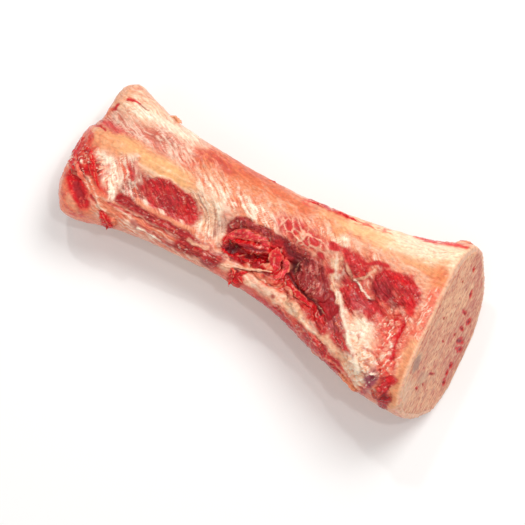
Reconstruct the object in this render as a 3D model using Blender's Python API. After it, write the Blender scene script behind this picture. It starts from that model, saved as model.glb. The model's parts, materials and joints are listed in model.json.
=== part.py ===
"""A raw beef marrow bone, lying on its side as it is sold.

The bone has one natural joint end (towards -X) and one sawn end (towards +X). Its hard wall is
open at the saw cut, where the spongy inside shows, and scraps of muscle and fat are left in the
long hollow of its upper side. Sizes are in millimetres, and widths are measured across the bone
from a line SHAFT_LINE to the low side of the box's middle. Run it with
blender --background --python part.py, or from the text editor.
"""

import math

import bmesh
import bpy
from mathutils import Matrix, Vector, noise

MM = 0.001

# Places of the measuring lines in the frame, whose origin is under the middle of the box
SHAFT_LINE = 10.0
MIDDLE_X = 1.9

# The saw cut: its top edge, how far it leans back from upright, and how high that edge is
SAW_TOP_X = 114.3
SAW_TOP_Z = 82.0
SAW_LEAN = math.radians(24.5)

# Outline of the bone: (distance along it, size) at the places where the outline turns
LOW_SIDE = (
    (-149, 4), (-148, -7), (-145.5, -15), (-140, -25), (-134, -28.5), (-125, -28), (-112, -25),
    (-92, -21.5), (-50, -20), (-5, -22), (25, -27.5), (60, -40), (76, -45), (92, -50), (118, -53), (165, -53),
)
HIGH_SIDE = (
    (-149, 13), (-147.5, 28), (-145.5, 36), (-141, 42.5), (-138, 54), (-136, 67), (-130, 73.5),
    (-124, 72.5), (-110, 66.5), (-90, 60.5), (-50, 55.5), (0, 52.5), (50, 55), (90, 59.5), (106, 64),
    (120, 70), (165, 70),
)
TOP = (
    (-149, 34), (-147, 43), (-143, 51), (-135, 58), (-120, 63), (-90, 62), (-40, 60),
    (0, 60), (45, 67), (85, 76), (118, 82.5), (165, 84),
)
BOTTOM = (
    (-149, 28), (-147, 18), (-143, 10), (-135, 3), (-120, -2), (-100, 1), (-60, 7),
    (0, 10), (50, 7), (90, 0), (115, -2), (165, -2),
)
WIDEST = ((-149, 31), (-120, 34), (0, 36), (60, 41), (100, 48), (120, 50), (165, 50))

# Squareness of each quarter of the section, in the shaft and at the saw cut
SQUARE_SHAFT = {"high top": 2.5, "low top": 2.3, "low bottom": 2.3, "high bottom": 2.2}
SQUARE_SAWN = {"high top": 3.0, "low top": 2.7, "low bottom": 2.5, "high bottom": 1.8}

# The long hollow of the upper side
HOLLOW_DEPTH = ((-122, 0), (-95, 5), (-60, 7), (-25, 11), (20, 14), (60, 13), (90, 9), (114, 0))
HOLLOW_LINE = ((-110, 6), (-60, 6), (-20, 3), (20, -1), (60, 2), (105, 4))
HOLLOW_HALF_WIDTH = ((-110, 14), (-60, 17), (-20, 20), (20, 24), (60, 35), (105, 40))

# Ridges and grooves of the upper side: start, end, half width and height
RELIEF = {
    "ridge to the saw cut": ((30, 45), (110, 52), 12, 2.5),
    "ridge to the joint": ((-124, 57), (-55, 50), 9, 2.0),
    "joint knob": ((-125, 61), (-119, 59), 8, 4.0),
    "joint valley": ((-130, 37), (-70, 37), 6, -4.5),
    "joint ridge": ((-137, 27), (-62, 22), 6, 3.0),
    "joint saddle": ((-140, 34), (-132, 40), 6, -4.0),
    "condyle": ((-137, -8), (-122, -20), 9, 3.5),
    "condyle slit": ((-133, -7), (-122, -17), 6, -4.0),
    "low groove": ((-100, -9), (-46, -11), 4.5, -3.0),
    "low lip": ((5, -20), (95, -50), 6, 2.0),
    "saw cut shoulder": ((108, -20), (110, 30), 8, -1.5),
}

# Ridges and grooves of the sides and the underside: from and to along the bone, angle round it
# in degrees from its high side, half width in degrees and height
SIDE_RELIEF = {
    "keel": (-75, 40, 262, 13, 3.2),
    "high side groove": (58, 170, 338, 13, -3.0),
    "low side groove": (62, 170, 204, 12, -2.6),
    "low heel": (-137, -101, 232, 17, 4.0),
    "high heel": (-132, -101, 306, 17, 4.5),
    "groove between the heels": (-150, -98, 269, 13, -4.0),
    "shaft flat": (-70, 50, 320, 24, -1.8),
}
SIDE_FADE = 14.0

# Dents in the end of the joint: middle (across, up), half width, half height and depth
END_DENTS = {
    "notch under the knob": (43, 30, 6, 30, 5.0),
    "hollow of the end": (6, 27, 9, 11, 3.5),
}
END_DENT_REACH = 20.0

# Hard wall of the bone, from its skin to the spongy inside
WALL = ((-135, 11), (-100, 11), (-50, 12), (20, 12), (70, 7), (110, 3.4), (165, 3.4))
INSIDE_START = -124.0
INSIDE_END_ROUND = 26.0
INSIDE_END_WALL = 14.0
FIT_GAP = 0.35
SCRAP_GAP = 0.6
SAW_SPARE = 20.0

# Scraps left on the bone: middle (along, across), half length, half width, turn in degrees,
# rise above the bone, lumpiness and colour
SCRAPS = {
    "oval_muscle": ((-77.5, 8.5), 24.5, 11, 2, 6.0, 0.6, "muscle"),
    "groove_muscle": ((-74, -8.5), 25, 3.6, -2, 4.0, 0.5, "dark muscle"),
    "hollow_muscle": ((-12, 15.5), 17, 4.2, -3, 4.0, 0.5, "dark muscle"),
    "rolled_muscle": ((-11.5, 5.5), 16, 5.0, 17, 10.0, 0.4, "wet muscle"),
    "torn_muscle": ((6, -5), 13.5, 8, 2, 9.0, 1.6, "wet muscle"),
    "streaked_muscle": ((36.5, 1.5), 15.5, 11, -16, 9.0, 0.8, "dark muscle"),
    "low_torn_muscle": ((29.5, -16), 9.5, 3.4, -32, 6.0, 1.0, "wet muscle"),
    "wedge_muscle": ((51, -18), 8, 4.2, -36, 6.0, 0.8, "dark muscle"),
    "netted_muscle": ((19, 24), 22, 6.5, 0, 4.0, 0.7, "muscle"),
    "corner_muscle": ((57, 20.5), 11, 7.2, -24, 7.0, 0.6, "muscle"),
    "deep_oval_muscle": ((88.5, 17), 18.5, 11.5, -10, 7.5, 1.0, "muscle"),
    "low_oval_muscle": ((69.5, -2), 15, 6, -24, 7.0, 0.8, "muscle"),
    "wrinkled_fat": ((80, -26.5), 23, 10.5, -22, 8.0, 1.2, "fat"),
    "end_muscle": ((108, -46.5), 7, 6.5, 10, 5.0, 0.9, "dark muscle"),
    "low_edge_muscle": ((60, -37), 25, 4.6, -19, 4.0, 0.9, "muscle"),
    "high_edge_scrap": ((111, 66.5), 11, 4.0, 12, 2.4, 0.7, "muscle"),
    "dark_scrap": ((-37, -14.5), 10.5, 4.0, -2, 4.5, 0.6, "dark muscle"),
    "ragged_tag": ((-10, -20), 7, 4.2, 20, 4.5, 0.8, "wet muscle"),
    "joint_tag": ((-103, -21.5), 6.5, 4.0, 66, 4.5, 0.6, "wet muscle"),
    "joint_flesh": ((-131, 6), 10, 12, 0, 4.0, 1.3, "wet muscle"),
}
SCRAP_SINK = 7.0
SCRAP_SIDES = 18
SCRAP_TIERS = 8
LUMP_SIZE = 7.0

# How finely the skin is faceted
SKIN_SIDES = 46
TOP_SHARE = 0.64
SKIN_STEP = 5.5
END_STEPS = (-149, -148, -146.5, -144.5, -142, -139, -136.5, -134)
INSIDE_SIDES = 22
INSIDE_STEP = 13.0
OVERRUN_X = 162.0

# Colour, roughness and metallic value of each material
FINISHES = {
    "bone": ((0.86, 0.62, 0.45), 0.45, 0.0),
    "spongy bone": ((0.80, 0.55, 0.45), 0.6, 0.0),
    "muscle": ((0.55, 0.06, 0.07), 0.3, 0.0),
    "wet muscle": ((0.66, 0.07, 0.07), 0.2, 0.0),
    "dark muscle": ((0.32, 0.05, 0.07), 0.3, 0.0),
    "fat": ((0.88, 0.74, 0.64), 0.4, 0.0),
}


def smooth(low, high, value):
    """0 below low, 1 above high, with an even bend between."""
    share = min(max((value - low) / (high - low), 0.0), 1.0)
    return share * share * (3 - 2 * share)


def along(stations, x):
    """Value at x of the smooth curve through the stations, level beyond its ends."""
    if x <= stations[0][0]:
        return stations[0][1]
    if x >= stations[-1][0]:
        return stations[-1][1]
    last = len(stations) - 1
    slot = next(i for i in range(last) if x <= stations[i + 1][0])
    (x0, v0), (x1, v1) = stations[slot], stations[slot + 1]
    run = x1 - x0
    before = stations[max(slot - 1, 0)]
    after = stations[min(slot + 2, last)]
    slope0 = (v1 - before[1]) / (x1 - before[0])
    slope1 = (after[1] - v0) / (after[0] - x0)
    t = (x - x0) / run
    rise0 = slope0 * run * (t**3 - 2 * t**2 + t)
    rise1 = slope1 * run * (t**3 - t**2)
    return v0 + (v1 - v0) * (3 * t**2 - 2 * t**3) + rise0 + rise1


def relief(x, y):
    """Height of the ridges, grooves and hollow of the upper side above its plain curve."""
    spread = (y - along(HOLLOW_LINE, x)) / along(HOLLOW_HALF_WIDTH, x)
    height = 0.0
    if abs(spread) < 1:
        height -= along(HOLLOW_DEPTH, x) * 0.5 * (1 + math.cos(math.pi * spread))
    for start, end, half_width, rise in RELIEF.values():
        run = (end[0] - start[0], end[1] - start[1])
        share = ((x - start[0]) * run[0] + (y - start[1]) * run[1]) / (run[0] ** 2 + run[1] ** 2)
        share = min(max(share, 0.0), 1.0)
        off = math.hypot(x - start[0] - share * run[0], y - start[1] - share * run[1])
        height += rise * math.exp(-((off / half_width) ** 2))
    return height


def squareness(x, cosine, sine):
    """Exponent of the section's curve in the quarter that the angle lies in."""
    quarter = ("high" if cosine > 0 else "low") + (" top" if sine > 0 else " bottom")
    sawn = smooth(20, 110, x)
    return SQUARE_SHAFT[quarter] * (1 - sawn) + SQUARE_SAWN[quarter] * sawn


def section(x, turn, inset, lowered=0.0):
    """Point of the plain section at x, drawn in all round by the inset, with its top lowered."""
    low, high = along(LOW_SIDE, x) + inset, along(HIGH_SIDE, x) - inset
    widest = along(WIDEST, x)
    cosine, sine = math.cos(turn), math.sin(turn)
    power = 2 / squareness(x, cosine, sine)
    reach = along(TOP, x) - lowered - widest if sine > 0 else widest - along(BOTTOM, x)
    y = (low + high) / 2 + math.copysign(abs(cosine) ** power, cosine) * (high - low) / 2
    z = widest + math.copysign(abs(sine) ** power, sine) * (reach - inset)
    return Vector((x, y, z))


def side_relief(x, turn):
    """Height of the ridges and grooves of the sides and the underside."""
    height = 0.0
    for start, end, angle, half_width, rise in SIDE_RELIEF.values():
        fade = smooth(start - SIDE_FADE, start + SIDE_FADE, x) * smooth(end + SIDE_FADE, end - SIDE_FADE, x)
        off = (math.degrees(turn) - angle) / half_width
        height += rise * fade * math.exp(-off * off)
    return height


def skin(x, turn):
    """Point of the bone's skin at x, turned about the bone from its high side."""
    point = section(x, turn, 0.0)
    out = Vector((0, math.cos(turn), math.sin(turn)))
    point += out * side_relief(x, turn)
    point.z += relief(x, point.y) * smooth(0.0, 0.6, math.sin(turn))
    near_end = smooth(END_STEPS[0] + END_DENT_REACH, END_STEPS[0], x)
    for across, up, half_width, half_height, depth in END_DENTS.values():
        off = math.hypot((point.y - across) / half_width, (point.z - up) / half_height)
        point.x += depth * near_end * math.exp(-off * off)
    point.z = max(point.z, 0.0)
    return point


def under_wall(x, turn, wall):
    """Point of the spongy inside, that far in from the plain section and from the hollow's floor."""
    point = section(x, turn, wall, along(HOLLOW_DEPTH, x))
    out = Vector((0, math.cos(turn), math.sin(turn)))
    return point + out * side_relief(x, turn) * smooth(20, 60, x)


def normal(x, turn):
    """Direction straight out of the skin."""
    ahead = skin(x + 1.0, turn) - skin(x - 1.0, turn)
    around = skin(x, turn + 0.04) - skin(x, turn - 0.04)
    return ahead.cross(around).normalized() * -1


def turn_at(x, y):
    """Turn about the bone at which its upper side has that y."""
    low, high = along(LOW_SIDE, x), along(HIGH_SIDE, x)
    share = (y - (low + high) / 2) / ((high - low) / 2)
    share = min(max(share, -0.995), 0.995)
    cosine = math.copysign(abs(share) ** (squareness(x, share, 1) / 2), share)
    return math.acos(cosine)


def spread_turn(share):
    """Turn for an even share of the sides, closer together on the upper side."""
    if share < TOP_SHARE:
        return math.pi * share / TOP_SHARE
    return math.pi * (1 + (share - TOP_SHARE) / (1 - TOP_SHARE))


def tube(steps, sides, place):
    """A closed tube with a ring at each step, its points given by place(step, share of a turn)."""
    mesh = bmesh.new()
    rings = len(steps) - 1
    bmesh.ops.create_grid(mesh, x_segments=rings, y_segments=sides, size=1)
    for vert in mesh.verts:
        ring = round((vert.co.x + 1) / 2 * rings)
        side = round((vert.co.y + 1) / 2 * sides) % sides
        vert.co = place(steps[ring], side / sides)
    bmesh.ops.remove_doubles(mesh, verts=mesh.verts, dist=0.001)
    bmesh.ops.holes_fill(mesh, edges=mesh.edges, sides=0)
    bmesh.ops.recalc_face_normals(mesh, faces=mesh.faces)
    return mesh


def saw_off(mesh, beyond=0.0):
    """Cuts a tube at the saw plane, or that far beyond it, and closes the cut with a flat face."""
    outwards = Vector((math.cos(SAW_LEAN), 0, math.sin(SAW_LEAN)))
    place = Vector((SAW_TOP_X, 0, SAW_TOP_Z)) + outwards * beyond
    everything = mesh.verts[:] + mesh.edges[:] + mesh.faces[:]
    bmesh.ops.bisect_plane(mesh, geom=everything, plane_co=place, plane_no=outwards, clear_outer=True)
    bmesh.ops.holes_fill(mesh, edges=mesh.edges, sides=0)
    bmesh.ops.recalc_face_normals(mesh, faces=mesh.faces)


def finish(name):
    """The material of that name, made once."""
    if name in bpy.data.materials:
        return bpy.data.materials[name]
    colour, roughness, metallic = FINISHES[name]
    material = bpy.data.materials.new(name)
    material.use_nodes = True
    shader = material.node_tree.nodes["Principled BSDF"]
    shader.inputs["Base Color"].default_value = (*colour, 1)
    shader.inputs["Roughness"].default_value = roughness
    shader.inputs["Metallic"].default_value = metallic
    material.diffuse_color = (*colour, 1)
    return material


def add_object(mesh, name, material):
    """Puts a mesh worked out in millimetres into the scene, at its place in metres."""
    mesh.transform(Matrix.Translation((-MIDDLE_X, -SHAFT_LINE, 0)))
    mesh.transform(Matrix.Scale(MM, 4))
    data = bpy.data.meshes.new(name)
    mesh.to_mesh(data)
    mesh.free()
    data.shade_smooth()
    data.set_sharp_from_angle(angle=math.radians(50))
    made = bpy.data.objects.new(name, data)
    made.data.materials.append(finish(material))
    bpy.context.scene.collection.objects.link(made)
    return made


def subtract(target, tool):
    """Cuts the tool out of the target for good, and leaves the tool as a hidden guide."""
    cut = target.modifiers.new("cut " + tool.name, "BOOLEAN")
    cut.operation = "DIFFERENCE"
    cut.solver = "EXACT"
    cut.object = tool
    tool.hide_render = True
    tool.display_type = "WIRE"


def skin_steps():
    """Distances along the bone of the skin's rings, close together round the joint end."""
    last = END_STEPS[-1]
    count = round((OVERRUN_X - last) / SKIN_STEP)
    return END_STEPS + tuple(last + (OVERRUN_X - last) * i / count for i in range(1, count + 1))


def swell(mesh, distance):
    """Moves a closed mesh's points straight out by the distance, or in where it is negative."""
    mesh.normal_update()
    moves = [(vert, vert.normal * distance) for vert in mesh.verts]
    for vert, move in moves:
        vert.co += move


def whole_bone(room=0.0):
    """The bone's outer form, sawn off. With room round it, it is a guide that runs past the cut."""
    mesh = tube(skin_steps(), SKIN_SIDES, lambda x, share: skin(x, spread_turn(share)))
    swell(mesh, room)
    saw_off(mesh, beyond=SAW_SPARE if room else 0.0)
    return mesh


def spongy_form(gap, beyond):
    """The space inside the hard wall, drawn in by the gap, and cut that far beyond the saw cut."""
    count = round((OVERRUN_X - INSIDE_START) / INSIDE_STEP)
    steps = [INSIDE_START + (OVERRUN_X - INSIDE_START) * i / count for i in range(count + 1)]

    def place(x, share):
        closing = 1 - smooth(INSIDE_START, INSIDE_START + INSIDE_END_ROUND, x)
        wall = along(WALL, x) + INSIDE_END_WALL * closing * closing
        return under_wall(x, spread_turn(share), wall)

    mesh = tube(steps, INSIDE_SIDES, place)
    swell(mesh, -gap)
    saw_off(mesh, beyond)
    return mesh


def scrap(middle, half_length, half_width, turn, rise, lumps):
    """A pad of meat or fat that follows the skin, thickest in its middle."""
    middle_turn = turn_at(*middle)
    step = skin(middle[0], middle_turn + 0.05) - skin(middle[0], middle_turn - 0.05)
    per_turn = step.length / 0.1
    cosine, sine = math.cos(math.radians(turn)), math.sin(math.radians(turn))
    mesh = bmesh.new()
    bmesh.ops.create_uvsphere(mesh, u_segments=SCRAP_SIDES, v_segments=SCRAP_TIERS, radius=1)
    for vert in mesh.verts:
        ahead = vert.co.x * half_length * cosine - vert.co.y * half_width * sine
        across = vert.co.x * half_length * sine + vert.co.y * half_width * cosine
        x = middle[0] + ahead
        around = middle_turn - across / per_turn
        height = vert.co.z * (rise if vert.co.z > 0 else SCRAP_SINK)
        foot = skin(x, around)
        if vert.co.z > 0.1:
            height += lumps * noise.noise(foot / LUMP_SIZE)
        vert.co = foot + normal(x, around) * height
    bmesh.ops.recalc_face_normals(mesh, faces=mesh.faces)
    return mesh


def main():
    for old in list(bpy.data.objects):
        bpy.data.objects.remove(old, do_unlink=True)

    bone = add_object(whole_bone(), "bone", "bone")
    space = add_object(spongy_form(0.0, SAW_SPARE), "space_for_spongy_bone", "spongy bone")
    subtract(bone, space)
    add_object(spongy_form(FIT_GAP, 0.0), "spongy_bone", "spongy bone")

    clear = add_object(whole_bone(SCRAP_GAP), "space_for_bone", "bone")
    for name, (middle, half_length, half_width, turn, rise, lumps, material) in SCRAPS.items():
        pad = scrap(middle, half_length, half_width, turn, rise, lumps)
        subtract(add_object(pad, name, material), clear)


main()
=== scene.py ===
import json
import math
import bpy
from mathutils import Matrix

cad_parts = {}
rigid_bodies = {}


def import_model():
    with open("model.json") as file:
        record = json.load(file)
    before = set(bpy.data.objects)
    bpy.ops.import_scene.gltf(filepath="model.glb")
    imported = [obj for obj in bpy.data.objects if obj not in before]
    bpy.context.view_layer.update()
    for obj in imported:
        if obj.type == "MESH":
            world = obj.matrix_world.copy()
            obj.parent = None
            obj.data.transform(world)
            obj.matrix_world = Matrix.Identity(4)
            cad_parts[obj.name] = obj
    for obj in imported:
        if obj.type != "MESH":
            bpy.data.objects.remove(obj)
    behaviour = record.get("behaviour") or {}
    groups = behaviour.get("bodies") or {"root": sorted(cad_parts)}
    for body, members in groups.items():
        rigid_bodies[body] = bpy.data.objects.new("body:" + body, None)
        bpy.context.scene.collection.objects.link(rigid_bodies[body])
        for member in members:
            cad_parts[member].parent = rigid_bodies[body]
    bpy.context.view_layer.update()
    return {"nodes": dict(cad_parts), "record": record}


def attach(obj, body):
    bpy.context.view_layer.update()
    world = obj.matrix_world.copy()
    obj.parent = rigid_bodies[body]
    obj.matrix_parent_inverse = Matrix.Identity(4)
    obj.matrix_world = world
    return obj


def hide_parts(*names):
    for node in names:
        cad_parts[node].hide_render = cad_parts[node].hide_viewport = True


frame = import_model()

from types import SimpleNamespace

import bmesh
import bpy
import numpy as np
from bpy.props import FloatProperty, FloatVectorProperty, PointerProperty
from mathutils import Vector
from mathutils.bvhtree import BVHTree

bl_info = {
    "name": "Raw Marrow Bone",
    "version": (1, 0, 0),
    "blender": (4, 5, 0),
    "location": "3D View > Sidebar > Marrow Bone",
    "description": "Dresses a sawn limb bone with skin, sinew, raw muscle and fat",
    "category": "Add Mesh",
}

MM = 0.001

# Lengths are in millimetres. Places on the bone are measured along it and across it, as its upper
# side shows to a viewer who stands turned SEEN_TURN from the front, SEEN_HEIGHT up and
# SEEN_DISTANCE away. LINE_X, LINE_Y and SEEN_LEVEL are where both measures are zero, in the frame.
LINE_X = -1.9
LINE_Y = -10.0
SEEN_LEVEL = 40.0
SEEN_TURN = math.radians(26.1)
SEEN_HEIGHT = math.radians(82.5)
SEEN_DISTANCE = 972.0
LENS = 100.0

# The saw cut, as the CAD has it: a point at its upper edge, its lean and the way it faces
SAW_TOP = Vector((114.3 + LINE_X, 0.0, 82.0))
SAW_LEAN = math.radians(24.5)
SAW_OUT = Vector((math.cos(SAW_LEAN), 0.0, math.sin(SAW_LEAN)))
SAW_WAY = np.array(SAW_OUT)

# Colours of the panel that the pieces are painted with
TONES = (
    "cream", "pale", "white", "fat", "orange", "tan", "knob", "salmon", "coral", "mauve",
    "pink", "red", "wet_red", "dark_red", "deep", "brown", "plum", "grey", "spongy",
)

# Each scrap's share of the CAD's height, and the height and size of its tears
FORMS = {
    "oval_muscle": (0.45, 0.3, 5.0),
    "groove_muscle": (0.5, 0.4, 4.0),
    "hollow_muscle": (0.6, 0.6, 5.0),
    "rolled_muscle": (1.0, 0.5, 7.0),
    "torn_muscle": (0.95, 2.2, 9.0),
    "streaked_muscle": (0.7, 0.6, 6.0),
    "low_torn_muscle": (0.9, 1.6, 6.0),
    "wedge_muscle": (0.7, 1.0, 7.0),
    "netted_muscle": (0.45, 0.3, 5.0),
    "corner_muscle": (0.5, 0.6, 6.0),
    "deep_oval_muscle": (0.5, 0.9, 8.0),
    "low_oval_muscle": (0.5, 0.6, 6.0),
    "wrinkled_fat": (0.8, 0.8, 6.0),
    "end_muscle": (0.9, 1.5, 6.0),
    "low_edge_muscle": (0.6, 0.8, 6.0),
    "high_edge_scrap": (0.8, 0.8, 5.0),
    "dark_scrap": (0.6, 0.6, 5.0),
    "ragged_tag": (0.6, 2.0, 5.0),
    "joint_tag": (0.6, 2.0, 5.0),
    "joint_flesh": (0.8, 1.2, 6.0),
}

# Torn flaps and strings: their tone and its tint, half widths along them, thickness, and a route
# of places along and across the bone with a lift
FLAPS = {
    "sinew_string": ("cream", (1.0, 0.85, 0.85), (1.6, 1.5, 1.1, 0.9, 0.8, 0.4), 0.8,
        [(-25, -13.5, 0.2), (-18, -11.6, 0.9), (-10, -9.2, 1.3), (0, -5.8, 1.6), (9, -2.8, 1.0)]),
    "rolled_lip": ("wet_red", (1.2, 5.0, 4.0), (1.6, 3.0, 3.6, 3.4, 2.6, 0.6), 1.6,
        [(-28.5, 1, 0), (-26.5, 7, 0.8), (-20, 11.6, 1.4), (-10, 13.6, 1.4), (-3, 12.6, 0.9), (3, 9, 0)]),
    "torn_flap": ("wet_red", (1.2, 3.0, 2.4), (1.2, 3.2, 4.4, 4.0, 2.0), 1.1,
        [(5, 14.5, 0.2), (6.5, 9, 1.6), (8.5, 3, 2.2), (10.5, -4, 0.6)]),
    "torn_flap_rim": ("wet_red", (1.25, 6.0, 5.0), (1.0, 2.6, 2.6, 1.6, 0.4), 1.0,
        [(11, 9, 0.8), (15, 6.6, 2.2), (16.4, 1.4, 2.4), (14.4, -4.5, 1.2), (10, -8, 0)]),
    "torn_shred": ("wet_red", (1.1, 1, 1), (0.6, 1.6, 1.8, 0.4), 0.8,
        [(-14, -4.5, 0), (-6, -2.6, 0.9), (2, 1.5, 0.6)]),
    "crevice_lip": ("wet_red", (1.1, 2, 2), (0.6, 1.9, 2.2, 1.4, 0.3), 0.9,
        [(19, -3.4, 0.3), (27, -7.6, 1.0), (36, -10, 0.9), (45, -13, 0.2)]),
    "joint_point": ("wet_red", (1.1, 1, 1), (1.0, 2.6, 2.4, 1.0, 0.1), 1.0,
        [(-112, -17, 0), (-107, -19.6, 0.8), (-103.4, -23.5, 0.6), (-101.8, -27, 0)]),
    "joint_point_side": ("wet_red", (1.1, 1, 1), (1.0, 1.8, 0.8, 0.1), 0.8,
        [(-106, -20, 0.3), (-101, -22.5, 0.4), (-98.5, -23, 0)]),
    "tag_point": ("wet_red", (1.15, 1, 1), (0.8, 2.4, 2.0, 0.9, 0.1), 0.9,
        [(-12.5, -12, 0.4), (-13.6, -17, 1.0), (-13.2, -21, 0.6), (-13, -24.5, 0)]),
    "tag_side": ("wet_red", (1.15, 1, 1), (0.8, 1.9, 1.2, 0.1), 0.8,
        [(-12, -15, 0.6), (-8, -16.5, 0.9), (-3.8, -19, 0)]),
    "tag_back": ("wet_red", (1.1, 1, 1), (0.6, 1.5, 1.0, 0.1), 0.8,
        [(-12.5, -15, 0.6), (-15.5, -13, 0.8), (-16.5, -9.5, 0)]),
    "tag_top": ("wet_red", (1.1, 1, 1), (0.6, 1.6, 1.2, 0.1), 0.8,
        [(-11, -15, 0.6), (-8.5, -12, 0.8), (-5, -10, 0)]),
    "joint_shred": ("wet_red", (1.15, 1, 1), (0.4, 1.8, 2.2, 1.6, 0.3), 1.1,
        [(-137, 19, 0), (-134, 14, 1.0), (-129.5, 8, 1.2), (-124, 1, 0.8), (-117, -5, 0)]),
    "joint_shred_low": ("coral", (1.1, 1.2, 1.2), (0.3, 1.4, 1.8, 0.3), 0.9,
        [(-143, 10, 0), (-139, 3, 0.9), (-133, -2, 0.8), (-127, -5, 0)]),
    "knob_flake": ("cream", (0.95, 0.7, 0.6), (0.3, 1.4, 1.6, 1.2, 0.2), 0.8,
        [(-98.5, 59.6, 0), (-95, 60.6, 0.8), (-92, 60.6, 0.9), (-88.5, 59.6, 0)]),
    "upper_scrap": ("wet_red", (1.1, 4, 3), (0.2, 1.0, 0.8, 1.1, 0.2), 0.6,
        [(27, 51.6, 0), (34, 52.4, 0.5), (41, 52.2, 0.5), (48, 52, 0)]),
    "upper_scrap_small": ("wet_red", (1.1, 4, 3), (0.2, 0.8, 1.0, 0.2), 0.6,
        [(10, 50.4, 0), (16, 51.2, 0.5), (23, 50.4, 0)]),
    "upper_scrap_far": ("wet_red", (1.1, 4, 3), (0.2, 0.8, 0.8, 0.1), 0.5,
        [(-21, 51.0, 0), (-17, 51.6, 0.4), (-13, 51.0, 0)]),
    "low_lobe": ("coral", (1.1, 2.2, 1.8), (0.4, 2.0, 2.4, 1.6, 0.2), 0.9,
        [(80, -43.5, 0), (86, -46, 0.6), (92, -48.4, 0.5), (97, -48.6, 0)]),
}

# Red holes in the sawn face, and their size
HOLES = (
    ((134, 42.5), 2.1), ((128.5, 57), 1.5), ((136, 58), 1.3), ((136, 30), 1.3), ((141.3, 25), 1.8),
    ((139, 19.5), 1.4), ((137.5, 13), 1.2), ((142, 11), 2.0), ((143.5, 5), 1.4), ((143.5, -6), 1.6),
    ((143.5, -12), 1.6), ((134, -17), 1.4), ((144.5, -17.5), 1.5), ((126, 47), 0.9), ((131, 6), 0.9),
    ((129, -30), 0.9), ((133, -26), 1.0), ((125, 20), 0.8),
)

# How much longer than wide the fibres are
GRAIN_STRETCH = 5.0

# The wet film's relief and ripples, and how far the lowest points stay above the floor
FILM_RISE = 0.28
FILM_RIPPLE = 1.5
FLOOR_GAP = 0.05

# How far below the saw cut points still count as on it, in faces of the skin
CUT_DEPTH = 1.3

# How deep the spongy bone is shown, how far the skin that closes the cut lies behind its face, and
# how far the scraps' rims are sunk into the skin
SPONGY_DEPTH = 14.0
SKIN_SETBACK = 1.6
SCRAP_SINK = 1.2

# Faces round a flap, steps along it, and how often its route is evened out
FLAP_SIDES = 28
FLAP_STEPS = 64
FLAP_ROUNDS = 30

# A mix node's colour sockets, by number because its other sockets have the same names
MIX_SHARE, MIX_FIRST, MIX_SECOND, MIX_RESULT = 0, 6, 7, 2


# Noise and shape helpers, all on arrays of points


def smooth(low, high, value):
    """0 at low, 1 at high, with an even bend between, either way round."""
    share = np.clip((value - low) / (high - low), 0.0, 1.0)
    return share * share * (3 - 2 * share)


def scramble(cells, seed):
    """An even random number for each whole-numbered cell."""
    mixed = cells[..., 0] * 374761393 + cells[..., 1] * 668265263 + cells[..., 2] * 1274126177
    mixed = (mixed + seed * 974634777) & 0xFFFFFFFF
    mixed = ((mixed ^ (mixed >> 13)) * 1103515245) & 0xFFFFFFFF
    mixed = ((mixed ^ (mixed >> 15)) * 668265263) & 0xFFFFFFFF
    return ((mixed ^ (mixed >> 16)) & 0xFFFFFF) / float(0xFFFFFF)


def value_noise(points, seed=0):
    """Smooth noise from -1 to 1 with a cell of 1."""
    floor = np.floor(points).astype(np.int64)
    part = points - floor
    part = part**3 * (part * (part * 6 - 15) + 10)
    total = 0.0
    for corner in np.ndindex(2, 2, 2):
        step = np.array(corner)
        weight = np.prod(np.where(step, part, 1 - part), axis=-1)
        total = total + weight * scramble(floor + step, seed)
    return total * 2 - 1


def clouds(points, size, octaves=3, seed=0):
    """Noise of several sizes added up, about -1 to 1."""
    total, strength, reach = 0.0, 1.0, 0.0
    for octave in range(octaves):
        total = total + strength * value_noise(points / size + 31.7 * octave, seed + octave)
        reach += strength
        strength *= 0.55
        size *= 0.5
    return total / reach * 1.5


def cells(points, size, seed=0):
    """Distance to the nearest and the next nearest random centre, in cells, and the nearest's number."""
    scaled = points / size
    floor = np.floor(scaled).astype(np.int64)
    first = np.full(len(points), 9.0)
    second = np.full(len(points), 9.0)
    number = np.zeros(len(points))
    for corner in np.ndindex(3, 3, 3):
        cell = floor + np.array(corner) - 1
        centre = cell + np.stack([scramble(cell, seed + axis) for axis in (11, 12, 13)], axis=-1)
        far = np.linalg.norm(scaled - centre, axis=1)
        nearer = far < first
        second = np.where(nearer, first, np.minimum(second, far))
        number = np.where(nearer, scramble(cell, seed + 14), number)
        first = np.where(nearer, far, first)
    return first, second, number


def read(collection, name):
    """A place or direction of each of a mesh's points, as an array."""
    values = np.empty(len(collection) * 3, np.float32)
    collection.foreach_get(name, values)
    return values.reshape(-1, 3).astype(np.float64)


def write(collection, name, values):
    """Sets a value of each of a mesh's points from an array."""
    collection.foreach_set(name, values.astype(np.float32).ravel())


def seen_directions():
    """Directions to the viewer, to the right and up, as the upper side is seen."""
    back = np.array(
        (
            math.sin(SEEN_TURN) * math.cos(SEEN_HEIGHT),
            -math.cos(SEEN_TURN) * math.cos(SEEN_HEIGHT),
            math.sin(SEEN_HEIGHT),
        )
    )
    right = np.array((math.cos(SEEN_TURN), math.sin(SEEN_TURN), 0.0))
    return back, right, np.cross(back, right)


def seen_places(points):
    """Millimetres along and across the bone at which points show from above."""
    back, right, up = seen_directions()
    offset = points - np.array((LINE_X, LINE_Y, SEEN_LEVEL))
    scale = SEEN_DISTANCE / (SEEN_DISTANCE - offset @ back)
    rightwards, upwards = (offset @ right) * scale, (offset @ up) * scale
    cosine, sine = math.cos(SEEN_TURN), math.sin(SEEN_TURN)
    return rightwards * cosine - upwards * sine, rightwards * sine + upwards * cosine


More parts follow.
